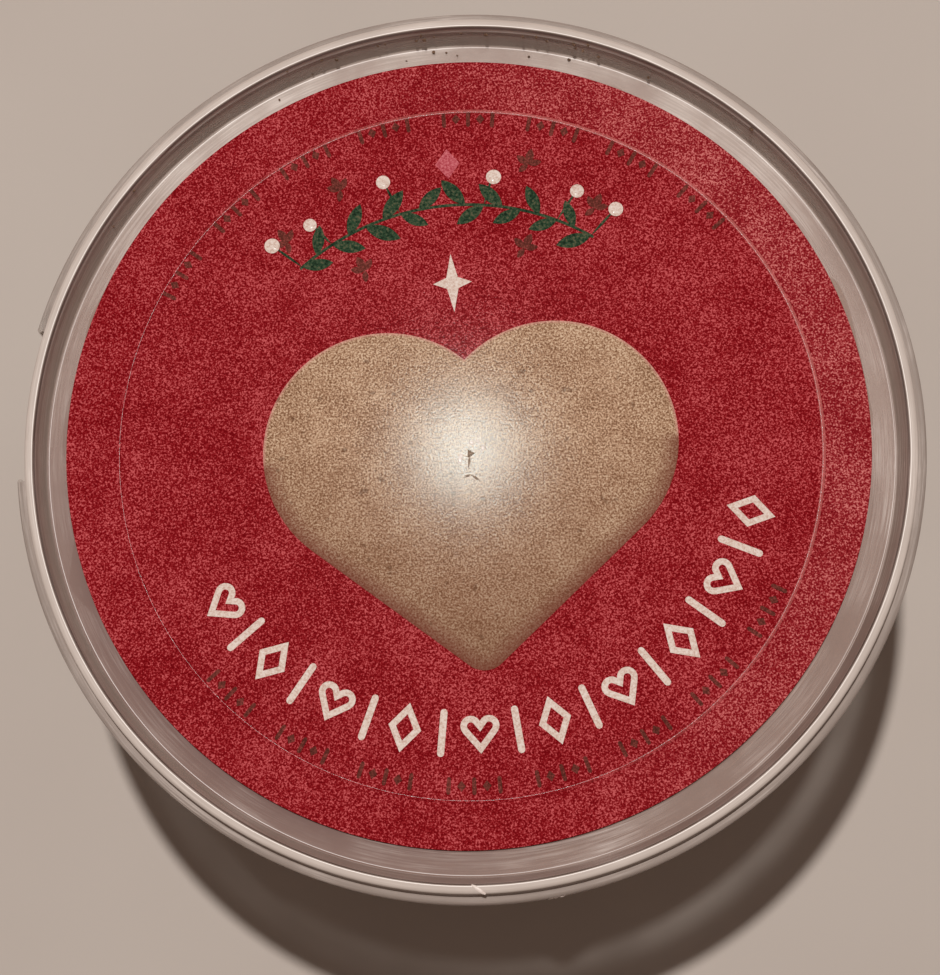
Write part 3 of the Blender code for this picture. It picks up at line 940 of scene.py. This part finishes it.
# %% Garland colours
leaf_ink, _ = print_ink("leaf_ink", (30, 44, 32), (54, 80, 58), (104, 100, 76), size=0.5 * MM, blotch=3 * MM)
cream_ink, _ = print_ink("cream_ink", (216, 186, 172), (240, 222, 210),
                         (250, 238, 230), size=0.4 * MM, blotch=8 * MM)

# %% Print the garland
rng = random.Random(21)
twig_outline = arc_band(TWIG_RADIUS, TWIG_WIDTH, TWIG_MIDDLE - TWIG_REACH, TWIG_MIDDLE + TWIG_REACH, 40)
twig_parts = [to_print(raise_outline("twig", twig_outline, 0, INK * 0.6), 0, 0)]
leaf_places = []
berry_places = []
for side in (-1, 1):
    for number in range(LEAVES_A_SIDE):
        bearing = TWIG_MIDDLE + side * (FIRST_LEAF + number * LEAF_STEP)
        lean = side * (INNER_LEAN if number % 2 else OUTER_LEAN) + rng.uniform(-0.14, 0.14)
        leaf_places.append(around(TWIG_RADIUS, bearing, lean, rng.uniform(0.85, 1.12)))
        if number in BERRY_STALKS:
            reach = TWIG_RADIUS + rng.uniform(5.2, 7.0) * MM
            across, up, *_ = around(reach, bearing + side * STALK_LEAN)
            berry_places.append((across, up, 0, rng.uniform(0.92, 1.08)))
            stalk_outline = leaf_outline(reach - TWIG_RADIUS, STALK_WIDTH)
            twig_parts.append(to_print(raise_outline("stalk", stalk_outline, 0, INK * 0.8),
                                       *around(TWIG_RADIUS, bearing, side * 0.2)))
leaf = raise_outline("leaf", leaf_outline(LEAF_LENGTH, LEAF_WIDTH), 0, INK)
leaves = copies(leaf, leaf_places, "leaves")
garland_leaves = join([leaves] + twig_parts, "garland_leaves")
finish_piece(garland_leaves, leaf_ink.material)

berry = upright_post(BERRY_RADIUS, 0, INK * 1.4, (0, 0), BERRY_SIDES, INK * 0.5)
garland_berries = smooth(copies(berry, berry_places, "garland_berries"))
finish_piece(garland_berries, cream_ink.material)

# %% Print the dim tufts beside the garland
dim_ink, _ = print_ink("dim_brown_ink", (84, 40, 34), (112, 56, 48), (150, 74, 68))
TUFTS = ((58, 50.5), (74, 54.5), (112, 54.0), (127, 51.0), (70, 38.5), (116, 38.0))
TUFT_BLADES = ((-58, 0.40), (0, 0.48), (55, 0.42), (150, 0.36))
tuft_places = []
for bearing, radius in TUFTS:
    for lean, share in TUFT_BLADES:
        tuft_places.append(around(radius * MM, bearing, math.radians(lean + rng.uniform(-12, 12)), share))
tuft = raise_outline("tuft", leaf_outline(LEAF_LENGTH, LEAF_WIDTH * 1.3), 0, INK)
dim_tufts = copies(tuft, tuft_places, "dim_tufts")
finish_piece(dim_tufts, dim_ink.material)

# %% [markdown]
# ### Cream and dim ornaments
#
# Under the heart stands a curved row of cream ornaments: small hearts, upright bars and lozenges, in a fixed
# order. Each is a filled outline. The hearts and the lozenges are opened with an inset whose inner face is
# taken out, so that they are drawn lines and not blots.
#
# Two more rows near the label's edge are dim brown and can hardly be read against the red. They are beads:
# short bars and dots.

# %% Ornament shapes
STROKE = 1.15 * MM


def drawn_line(name, outline):
    """An outline as a drawn line: its face is inset, the inner face taken out, and the rest raised."""
    piece = draw_line(name, [(x, y, 0) for x, y in outline])
    bpy.ops.mesh.select_all(action='SELECT')
    bpy.ops.mesh.edge_face_add()
    bpy.ops.mesh.inset(thickness=STROKE)
    bpy.ops.mesh.delete(type='FACE')
    extrude_up(INK)
    close_up()
    return piece


def lozenge(width, height):
    """A four-cornered outline that stands on its point."""
    return [(0, -height / 2), (width / 2, 0), (0, height / 2), (-width / 2, 0)]


def round_bar(width, height, steps=5):
    """An upright bar with round ends."""
    reach = height / 2 - width / 2
    cap = [math.pi * step / steps for step in range(steps + 1)]
    top = [(width / 2 * math.cos(a), reach + width / 2 * math.sin(a)) for a in cap]
    return top + [(-x, -y) for x, y in top]


def star_outline(long, short, waist):
    """A four-pointed star, long upright and short across."""
    reach = (short, waist, long, waist) * 2
    return [(reach[tip] * math.cos(tip * math.pi / 4), reach[tip] * math.sin(tip * math.pi / 4))
            for tip in range(8)]


# %% Print the cream row
SMALL_HEART = (1.85 * MM, 1.65 * MM, 5.0 * MM)
SMALL_HEART_RISE = 1.4 * MM
BAR_SIZE = (STROKE * 1.1, 8.6 * MM)
LOZENGE_SIZE = (6.0 * MM, 9.0 * MM)
STAR_SIZE = (5.6 * MM, 3.6 * MM, 1.5 * MM)
STAR_PLACE = (-0.6 * MM, 30.5 * MM)
ROW_RADIUS = 53.0 * MM
ROW_START = -150
ROW_END = -18
ROW_COUNT = 19

hearts, bars, lozenges = [], [], []
for number in range(ROW_COUNT):
    bearing = ROW_START + (ROW_END - ROW_START) * number / (ROW_COUNT - 1)
    across, up, turn_by, size = around(ROW_RADIUS, bearing)
    place = (across, up, turn_by + math.pi, size)
    {0: hearts, 2: lozenges}.get(number % 4, bars).append(place)
small_heart = drawn_line("small_heart", heart_outline(*SMALL_HEART, 9))
small_heart.data.transform(Matrix.Translation((0, SMALL_HEART_RISE, 0)))
cream_pieces = [
    copies(small_heart, hearts, "cream_hearts"),
    copies(raise_outline("bar", round_bar(*BAR_SIZE), 0, INK), bars, "cream_bars"),
    copies(drawn_line("lozenge", lozenge(*LOZENGE_SIZE)), lozenges, "cream_lozenges"),
]
star = raise_outline("star", star_outline(*STAR_SIZE), 0, INK)
cream_pieces.append(to_print(star, *STAR_PLACE))
cream_row = join(cream_pieces, "cream_ornaments")
finish_piece(cream_row, cream_ink.material)

# %% Print the pink lozenge and the dim beads
pink_ink, _ = print_ink("pink_ink", (176, 66, 78), (206, 100, 110), (228, 136, 142))
PINK_SIZE = (4.6 * MM, 5.8 * MM)
PINK_PLACE = (0.0, 53.6 * MM)
pink_lozenge = to_print(raise_outline("pink_lozenge", lozenge(*PINK_SIZE), 0, INK), *PINK_PLACE)
finish_piece(pink_lozenge, pink_ink.material)

DIM_RADIUS = 62.3 * MM
DIM_STEP = 2.1
DIM_STRETCHES = ((37.6, 151.5), (-141.0, -27.6))
BEAD_GROUP = 7
bead_bars, bead_dots = [], []
for first, last in DIM_STRETCHES:
    for number in range(int((last - first) / DIM_STEP)):
        place = around(DIM_RADIUS, first + number * DIM_STEP)
        in_group = number % BEAD_GROUP
        if in_group < BEAD_GROUP - 2:
            (bead_dots if in_group % 2 else bead_bars).append(place)
dim_beads = join([
    copies(raise_outline("bead_bar", round_bar(0.75 * MM, 3.2 * MM, 3), 0, INK), bead_bars, "bead_bars"),
    copies(raise_outline("bead_dot", lozenge(1.6 * MM, 2.0 * MM), 0, INK), bead_dots, "bead_dots"),
], "dim_beads")
finish_piece(dim_beads, dim_ink.material)

# %% [markdown]
# ## The moulding mark
#
# Plastic enters the lid's mould at its middle and leaves a small mark there, which shows through the film:
# a low three-sided pimple with a pit and a fine crack that runs from it and forks, both coloured dark
# grey-brown as painted shade, and pale flecks round it that are painted highlights.

# %% Gate mark
GATE_PLACE = (0.1 * MM, -1.3 * MM)
GATE_RADIUS = 1.0 * MM
GATE_SIDES = 3
GATE_HEIGHT = 0.22 * MM
gate_top = LABEL_TOP + INK
gate_profile = rounded([
    (0.0, gate_top + GATE_HEIGHT * 0.35, 0),
    (GATE_RADIUS * 0.30, gate_top + GATE_HEIGHT * 0.45, 0.1 * MM),
    (GATE_RADIUS * 0.45, gate_top + GATE_HEIGHT, 0.1 * MM),
    (GATE_RADIUS, gate_top, 0.2 * MM),
    (GATE_RADIUS, gate_top - INK / 2, 0),
    (0.0, gate_top - INK / 2, 0),
], support=0)
gate_mark = turn("gate_mark", gate_profile[::-1], steps=GATE_SIDES)
gate_mark.data.transform(Matrix.Translation((*GATE_PLACE, 0)))
smooth(gate_mark, math.radians(60))
# The pimple and the crack are a dark grey-brown with almost no shine: painted shade.
painted_gate_shade = Finish("painted_gate_shade")
gate_shade_colour, _ = grained(painted_gate_shade, (134, 114, 97), (158, 137, 120), (188, 168, 151))
painted_gate_shade.set("Base Color", gate_shade_colour)
painted_gate_shade.set("Roughness", 0.8)
painted_gate_shade.set("Specular IOR Level", 0.1)
finish_piece(gate_mark, painted_gate_shade.material)

CRACK_WIDTH = 0.5 * MM
CRACKS = (((0, 0), (-0.3, -2.9)), ((-1.0, -4.5), (0.1, -3.9)), ((0.1, -3.9), (1.9, -5.1)))
cracks = []
for start, end in CRACKS:
    start, end = Vector(start) * MM, Vector(end) * MM
    run = end - start
    crack = raise_outline("crack", lozenge(CRACK_WIDTH, run.length * 1.1), 0, INK / 2)
    turn_by = math.atan2(run.y, run.x) - math.pi / 2
    middle = (start + end) / 2 + Vector(GATE_PLACE)
    crack.data.transform(Matrix.Translation((*middle, gate_top)) @ Matrix.Rotation(turn_by, 4, 'Z'))
    cracks.append(crack)
gate_crack = join(cracks, "gate_crack")
finish_piece(gate_crack, painted_gate_shade.material)

# %% Painted highlights round the gate: pale flecks
FLECK_WIDTH = 0.75 * MM
FLECK_HEIGHT = 0.06 * MM
FLECK_TURN = 70
FLECKS = ((212, 2.2, 1.5), (196, 1.7, 0.9), (82, 2.0, 1.1), (60, 2.6, 0.7), (24, 2.5, 1.0))
flecks = []
for bearing, radius, length in FLECKS:
    spot = on_ring(radius * MM, math.radians(bearing), gate_top) + Vector((*GATE_PLACE, 0))
    turn_by = math.radians(bearing + FLECK_TURN)
    flecks.append(sliver(length * MM, FLECK_WIDTH, FLECK_HEIGHT, spot, turn_by))
gate_glint_flecks = smooth(join(flecks, "gate_glint_flecks"))
finish_piece(gate_glint_flecks, burr_and_glint_plastic.material)

# %% [markdown]
# ## The biscuits
#
# The tub is full of heart-shaped biscuits, and through the clear wall they are most of what the side views
# show. The solid heap was laid by a rule: a layer flat on the floor, rows that lean out against the wall,
# and a layer on top. The same rule with the same seed gives the same places here, so the detailed biscuits
# stand where the solid ones do.
#
# The rule keeps a grid of how far each spot is filled already, heights over the plan for biscuits that
# fall, and depths in from the wall for those that lean on it. A biscuit is a cloud of points. It tries
# places at random, moves until its first point touches the grid, and keeps the place where it ends up
# closest in.

# %% Biscuit size and rule
BISCUIT_WIDTH = 36 * MM
BISCUIT_THICKNESS = 6.5 * MM
BISCUIT_LOBE = 0.276 * BISCUIT_WIDTH
BISCUIT_SPREAD = BISCUIT_WIDTH / 2 - BISCUIT_LOBE
BISCUIT_TIP = 0.56 * BISCUIT_WIDTH
TIP_FLAT = 0.035 * BISCUIT_WIDTH
GAP = 0.3 * MM
TOUCH = 0.6 * MM
BITE = 0.4 * MM
GRID_STEP = 1.6 * MM
TRIES = 60
FALL_STEPS = 5
WALL_ROWS = ((26 * MM, 0.0), (58 * MM, 0.5), (42 * MM, 0.2), (28 * MM, 0.5), (55 * MM, 0.0))
WALL_ROW_COUNT = 12


def inner_wall_radius(height):
    """Inside radius of the tub's wall at a height."""
    top = outer_shoulder - WALL
    bottom = BASE_RADIUS - WALL
    return bottom + (top - bottom) * (height - BASE_CORNER) / (SHOULDER_HEIGHT - BASE_CORNER)


def biscuit_outline(steps):
    """The biscuit's outline, its point cut a little blunt, with its middle at the origin."""
    rise = (BISCUIT_TIP - BISCUIT_LOBE) / 2
    outline = heart_outline(BISCUIT_LOBE, BISCUIT_SPREAD, BISCUIT_TIP, steps)
    blunt = (TIP_FLAT, TIP_FLAT - BISCUIT_TIP)
    outline = [blunt] + outline[1:] + [(-blunt[0], blunt[1])]
    return [(x, y + rise) for x, y in outline]


def biscuit_points():
    """Points through a flat biscuit: a grid inside its outline, and the outline, in three layers."""
    outline = biscuit_outline(5)
    reach = max(abs(value) for point in outline for value in point)
    cells = np.arange(-reach, reach, GRID_STEP)
    across, along = [axis.ravel() for axis in np.meshgrid(cells, cells)]
    inside = np.zeros(len(across), dtype=bool)
    for (x0, y0), (x1, y1) in zip(outline, outline[1:] + outline[:1]):
        if y0 == y1:
            continue
        crosses = (y0 > along) != (y1 > along)
        inside ^= crosses & (across < x0 + (along - y0) * (x1 - x0) / (y1 - y0))
    flat = np.vstack([np.column_stack([across[inside], along[inside]]), np.array(outline)])
    half = BISCUIT_THICKNESS / 2
    return np.vstack([np.column_stack([flat, np.full(len(flat), z)]) for z in (-half, 0.0, half)])


print("points in a biscuit", len(biscuit_points()))

# %% Where biscuits come to rest
WALL_DEEPEST = 30 * MM
WALL_START = 40 * MM
FLAT_REACH = 56 * MM
FLOOR_TOP = FLOOR_HEIGHT + 8.5 * MM
CORE_TOP = 56 * MM
HEAP_TOP = PANEL_UNDERSIDE - TOUCH


class FlatBed:
    """What biscuits fall onto: a grid of heights over the tub's plan."""

    def __init__(self, level, lowest, highest):
        self.count = int(2 * RIM_RADIUS / GRID_STEP) + 2
        self.surface = np.full((self.count, self.count), level)
        self.lowest = lowest
        self.highest = highest
        self.deepest = highest

    def locate(self, points):
        index = np.clip((points[:, :2] / GRID_STEP + self.count / 2).astype(int), 0, self.count - 1)
        return (index[:, 0], index[:, 1]), points[:, 2]

    def start(self, draw, _number):
        bearing = draw.uniform(0, 2 * math.pi)
        radius = FLAT_REACH * math.sqrt(draw.random())
        place = (radius * math.cos(bearing), radius * math.sin(bearing), LID_TOP)
        return np.array(place), np.array((0.0, 0.0, -1.0)), Matrix.Identity(3)


class WallBed:
    """What biscuits lean against: a grid of depths in from the wall."""

    def __init__(self, lowest, highest):
        self.around = int(2 * math.pi * RIM_RADIUS / GRID_STEP)
        self.surface = np.zeros((self.around, int(LID_TOP / GRID_STEP) + 1))
        self.lowest = lowest
        self.highest = highest
        self.deepest = WALL_DEEPEST

    def locate(self, points):
        share = np.arctan2(points[:, 1], points[:, 0]) / (2 * math.pi) % 1.0
        row = np.clip((points[:, 2] / GRID_STEP).astype(int), 0, self.surface.shape[1] - 1)
        column = (share * self.around).astype(int) % self.around
        room = inner_wall_radius(points[:, 2]) - TOUCH
        return (column, row), room - np.hypot(points[:, 0], points[:, 1])

    def start(self, draw, number):
        row_height, row_shift = WALL_ROWS[number // WALL_ROW_COUNT]
        share = (number + row_shift + draw.uniform(-0.12, 0.12)) / WALL_ROW_COUNT
        bearing = 2 * math.pi * share
        height = row_height + draw.uniform(-1.0, 1.0) * 4 * MM
        outward = np.array((math.cos(bearing), math.sin(bearing), 0.0))
        upright = Matrix.Rotation(bearing, 3, 'Z') @ Matrix.Rotation(math.pi / 2, 3, 'Y')
        return outward * WALL_START + np.array((0.0, 0.0, height)), outward, upright


def inside_tub(points, bed):
    """Whether points are clear of the wall and between the bed's lowest and highest heights."""
    height = points[:, 2]
    if height.min() < bed.lowest - GAP or height.max() > bed.highest:
        return False
    room = inner_wall_radius(height) - np.maximum(BASE_CORNER - height, 0.0) - GAP
    return bool(np.all(np.hypot(points[:, 0], points[:, 1]) < room))


def rest(bed, number, tilt_most, draw, biscuit):
    """The best of many random places for one biscuit."""
    best = None
    angle = tilt_most * draw.random() ** 2
    for _ in range(TRIES):
        place, direction, flat_turn = bed.start(draw, number)
        lean = draw.uniform(0, 2 * math.pi)
        tilt = Matrix.Rotation(angle, 3, Vector((math.cos(lean), math.sin(lean), 0.0)))
        turn_by = flat_turn @ tilt @ Matrix.Rotation(draw.uniform(0, 2 * math.pi), 3, 'Z')
        points = biscuit @ np.array(turn_by).T + place
        for _ in range(FALL_STEPS):
            cells, level = bed.locate(points)
            move = direction * (level - bed.surface[cells]).min()
            points = points + move
            place = place + move
        if inside_tub(points, bed):
            cells, level = bed.locate(points)
            if level.mean() < (best[0] if best else bed.deepest):
                best = (level.mean(), cells, level, place, turn_by, points)
    return best


def lay(bed, count, tilt_most, draw, biscuit):
    """Lays a number of biscuits on a bed, one after the other."""
    places, clouds = [], []
    for number in range(count):
        best = rest(bed, number, tilt_most, draw, biscuit)
        if best is None:
            continue
        _, cells, level, place, turn_by, points = best
        np.maximum.at(bed.surface, cells, level - BITE)
        places.append(Matrix.Translation(Vector(place)) @ turn_by.to_4x4())
        clouds.append(points)
    return places, clouds


# %% Lay the heap
WALL_HIGHEST = 74.2 * MM
FLOOR_COUNT = 13
WALL_COUNT = len(WALL_ROWS) * WALL_ROW_COUNT
TOP_COUNT = 18
FLOOR_TILT = 0.03
WALL_TILT = 0.55
TOP_TILT = 0.3

draw = random.Random(14)
biscuit = biscuit_points()
floor_bed = FlatBed(FLOOR_HEIGHT + GAP, FLOOR_HEIGHT, FLOOR_TOP)
floor_places, _ = lay(floor_bed, FLOOR_COUNT, FLOOR_TILT, draw, biscuit)
wall_bed = WallBed(FLOOR_TOP, WALL_HIGHEST)
wall_places, clouds = lay(wall_bed, WALL_COUNT, WALL_TILT, draw, biscuit)
top_bed = FlatBed(CORE_TOP - BITE, CORE_TOP - BITE, HEAP_TOP)
for points in clouds:
    cells, level = top_bed.locate(points)
    np.maximum.at(top_bed.surface, cells, level)
top_places, _ = lay(top_bed, TOP_COUNT, TOP_TILT, draw, biscuit)
biscuit_places = floor_places + wall_places + top_places
print("biscuits on the floor, wall and top", len(floor_places), len(wall_places), len(top_places))

# %% [markdown]
# ### One biscuit
#
# A cut and baked biscuit has upright sides that slump a little, a softly rounded top edge and a slightly
# domed top. The outline is raised, its top face inset and lifted for the dome, and a Bevel modifier rounds
# the rims. Copies go to every place, and one Displace modifier over all of them makes each a bit uneven.

# %% Bake the heap
DOME = 0.5 * MM
DOME_INSET = 4 * MM
RIM_ROUNDING = 1.1 * MM

half = BISCUIT_THICKNESS / 2
one_biscuit = raise_outline("one_biscuit", biscuit_outline(12), -half, half - DOME)
pick_top(one_biscuit)
bpy.ops.mesh.inset(thickness=DOME_INSET)
bpy.ops.transform.translate(value=(0, 0, DOME))
bpy.ops.object.mode_set(mode='OBJECT')
soften(one_biscuit, RIM_ROUNDING)

hearts = []
for place in biscuit_places:
    heart = copy_of(one_biscuit, "heart")
    heart.data.transform(place)
    hearts.append(heart)
bpy.data.objects.remove(one_biscuit)
biscuit_heap = join(hearts, "biscuit_heap")
unevenness = bpy.data.textures.new("Unevenness", 'CLOUDS')
unevenness.noise_scale = 7 * MM
uneven = biscuit_heap.modifiers.new("Uneven", 'DISPLACE')
uneven.texture = unevenness
uneven.texture_coords = 'GLOBAL'
uneven.strength = 0.5 * MM
uneven.mid_level = 0.75
bake_modifiers(biscuit_heap)
smooth(biscuit_heap, math.radians(50))

# %% [markdown]
# ### The look of baked dough
#
# Plain biscuit dough is a warm pale tan. It is darker and browner where the biscuit stood proud in the
# oven, has a fine crumb of lighter and darker grains, and a few dark specks. Its surface is dry and rough.

# %% Baked dough
dough = Finish("baked_dough")
crumb, crumb_value = grained(dough, (150, 112, 76), (190, 152, 112),
                             (216, 186, 150), size=0.7 * MM, blotch=12 * MM)
browned = dough.spread(dough.noise(16 * MM, detail=3.0), 0.45, 0.7)
crumb = dough.mix(dough.times(browned, 0.4), crumb, (150, 98, 58))
dark_specks = dough.spread(dough.noise(1.8 * MM, detail=1.0), 0.70, 0.75)
crumb = dough.mix(dough.times(dark_specks, 0.7), crumb, (92, 58, 36))
dough.set("Base Color", crumb)
dough.set("Roughness", dough.spread(crumb_value, 0.3, 0.7, 0.8, 0.95))
dough.bump(crumb_value, 0.25 * MM, 0.8)
finish_piece(biscuit_heap, dough.material, ["biscuits"])

# %% [markdown]
# ### What lies behind
#
# Between the biscuits that show, the eye meets the shadowed ones behind. A rough dark core stands for
# them: a turned cone, narrower than the solid heap's, with a bumpy face.

# %% Core of the heap
CORE_MARGIN = 13 * MM
CORE_EDGE = 4 * MM
CORE_SIDES = 64
core_low = FLOOR_HEIGHT + 4 * MM
core_profile = rounded([
    (0.0, core_low, 0),
    (inner_wall_radius(core_low) - CORE_MARGIN, core_low, CORE_EDGE),
    (inner_wall_radius(CORE_TOP) - CORE_MARGIN, CORE_TOP, CORE_EDGE),
    (0.0, CORE_TOP, 0),
])
biscuit_core = smooth(turn("biscuit_core", core_profile, steps=CORE_SIDES), math.radians(80))
finish_piece(biscuit_core, dough.material, ["biscuits"])

# %% [markdown]
# ## Crumbs on the lid
#
# A few dark crumbs lie in the lid's channel and cling to its wall, most of them at the far side. Each is
# an icosphere of few faces, pulled out of round.

# %% Crumbs
CRUMB_COUNT = 32
CRUMB_SIDE = 92
CRUMB_SCATTER = 20

rng = random.Random(8)
crumbs = []
for number in range(CRUMB_COUNT):
    bearing = math.radians(rng.gauss(CRUMB_SIDE, CRUMB_SCATTER))
    size = rng.uniform(0.35, 0.75) * MM
    climb = rng.uniform(0.8, 5.0) * MM if number % 5 else 0.0
    across = ridge_wall_radius(PANEL_TOP + climb) - size * 0.3 - (0 if climb else rng.uniform(0.4, 2.5) * MM)
    start_clean()
    bpy.ops.mesh.primitive_ico_sphere_add(subdivisions=1, radius=0.5)
    crumb_piece = bpy.context.object
    for vertex in crumb_piece.data.vertices:
        vertex.co *= rng.uniform(0.75, 1.25)
    spot = on_ring(across, bearing, PANEL_TOP + climb + size * 0.3)
    stretch = Vector((size * rng.uniform(0.8, 1.3), size, size * 0.6))
    turned = Matrix.Rotation(rng.uniform(0, 6.3), 3, 'Z')
    crumb_piece.data.transform(Matrix.LocRotScale(spot, turned, stretch))
    crumbs.append(crumb_piece)
lid_crumbs = join(crumbs, "lid_crumbs")
dark_crumb = Finish("dark_crumb")
brown, _ = grained(dark_crumb, (72, 52, 40), (104, 78, 60), (140, 110, 88), size=0.3 * MM)
dark_crumb.set("Base Color", brown)
dark_crumb.set("Roughness", 0.9)
finish_piece(lid_crumbs, dark_crumb.material)

# %% [markdown]
# ## Table, light and camera
#
# The stage is plain: a pale matte table with the least unevenness of tone, one small lamp nearly overhead
# whose mirror image falls on the middle of the label, and a weak even light from all round that keeps the
# shadow readable.

# %% Table
TABLE_SIZE = 3.0
start_clean()
bpy.ops.mesh.primitive_plane_add(size=TABLE_SIZE, location=(0, 0, 0))
table = bpy.context.object
table.name = "table"
table_finish = Finish("pale_table")
tone = table_finish.spread(table_finish.noise(120 * MM, detail=3.0), 0.3, 0.7)
table_finish.set("Base Color", table_finish.mix(tone, (199, 188, 179), (206, 196, 187)))
table_finish.set("Roughness", 0.7)
table.data.materials.append(table_finish.material)

# %% Camera
CAMERA_AZIMUTH = math.radians(9.8)
CAMERA_ELEVATION = math.radians(78.7)
CAMERA_DISTANCE = 420 * MM
CAMERA_TARGET = Vector((0.3 * MM, -8.7 * MM, LID_TOP))
FRAME_HEIGHT = 175.1 * MM

backward = Vector((math.sin(CAMERA_AZIMUTH) * math.cos(CAMERA_ELEVATION),
                   -math.cos(CAMERA_AZIMUTH) * math.cos(CAMERA_ELEVATION), math.sin(CAMERA_ELEVATION)))
rightward = (Vector((1, 0, 0)) - backward * backward.x).normalized()
upward = backward.cross(rightward)
start_clean()
bpy.ops.object.camera_add()
camera = bpy.context.object
camera.name = "camera"
camera.matrix_world = Matrix.Translation(CAMERA_TARGET + backward * CAMERA_DISTANCE) @ Matrix(
    (rightward, upward, backward)).transposed().to_4x4()
camera.data.lens = camera.data.sensor_width * CAMERA_DISTANCE / FRAME_HEIGHT
bpy.context.scene.camera = camera
print("camera at", [round(value, 4) for value in camera.location], "lens", round(camera.data.lens, 1))

# %% Light
LAMP_DISTANCE = 1.8
LAMP_SIZE = 0.07
LAMP_WATTS = 23
LAMP_COLOUR = (1.0, 0.955, 0.92)
ROOM_COLOUR = (240, 213, 198)
ROOM_STRENGTH = 0.16
lamp_direction = Vector((-0.0366, 0.2150, 1.0)).normalized()
start_clean()
bpy.ops.object.light_add(type='AREA', location=Vector((0, 0, LID_TOP)) + lamp_direction * LAMP_DISTANCE)
lamp = bpy.context.object
lamp.name = "lamp"
lamp.data.shape = 'DISK'
lamp.data.size = LAMP_SIZE
lamp.data.energy = LAMP_WATTS
lamp.data.color = LAMP_COLOUR
lamp.rotation_mode = 'QUATERNION'
lamp.rotation_quaternion = lamp_direction.to_track_quat('Z', 'Y')

room = bpy.data.worlds.new("room")
room.use_nodes = True
background = room.node_tree.nodes["Background"]
background.inputs["Color"].default_value = screen_colour(*ROOM_COLOUR)
background.inputs["Strength"].default_value = ROOM_STRENGTH
bpy.context.scene.world = room
bpy.context.scene.view_settings.view_transform = 'Standard'
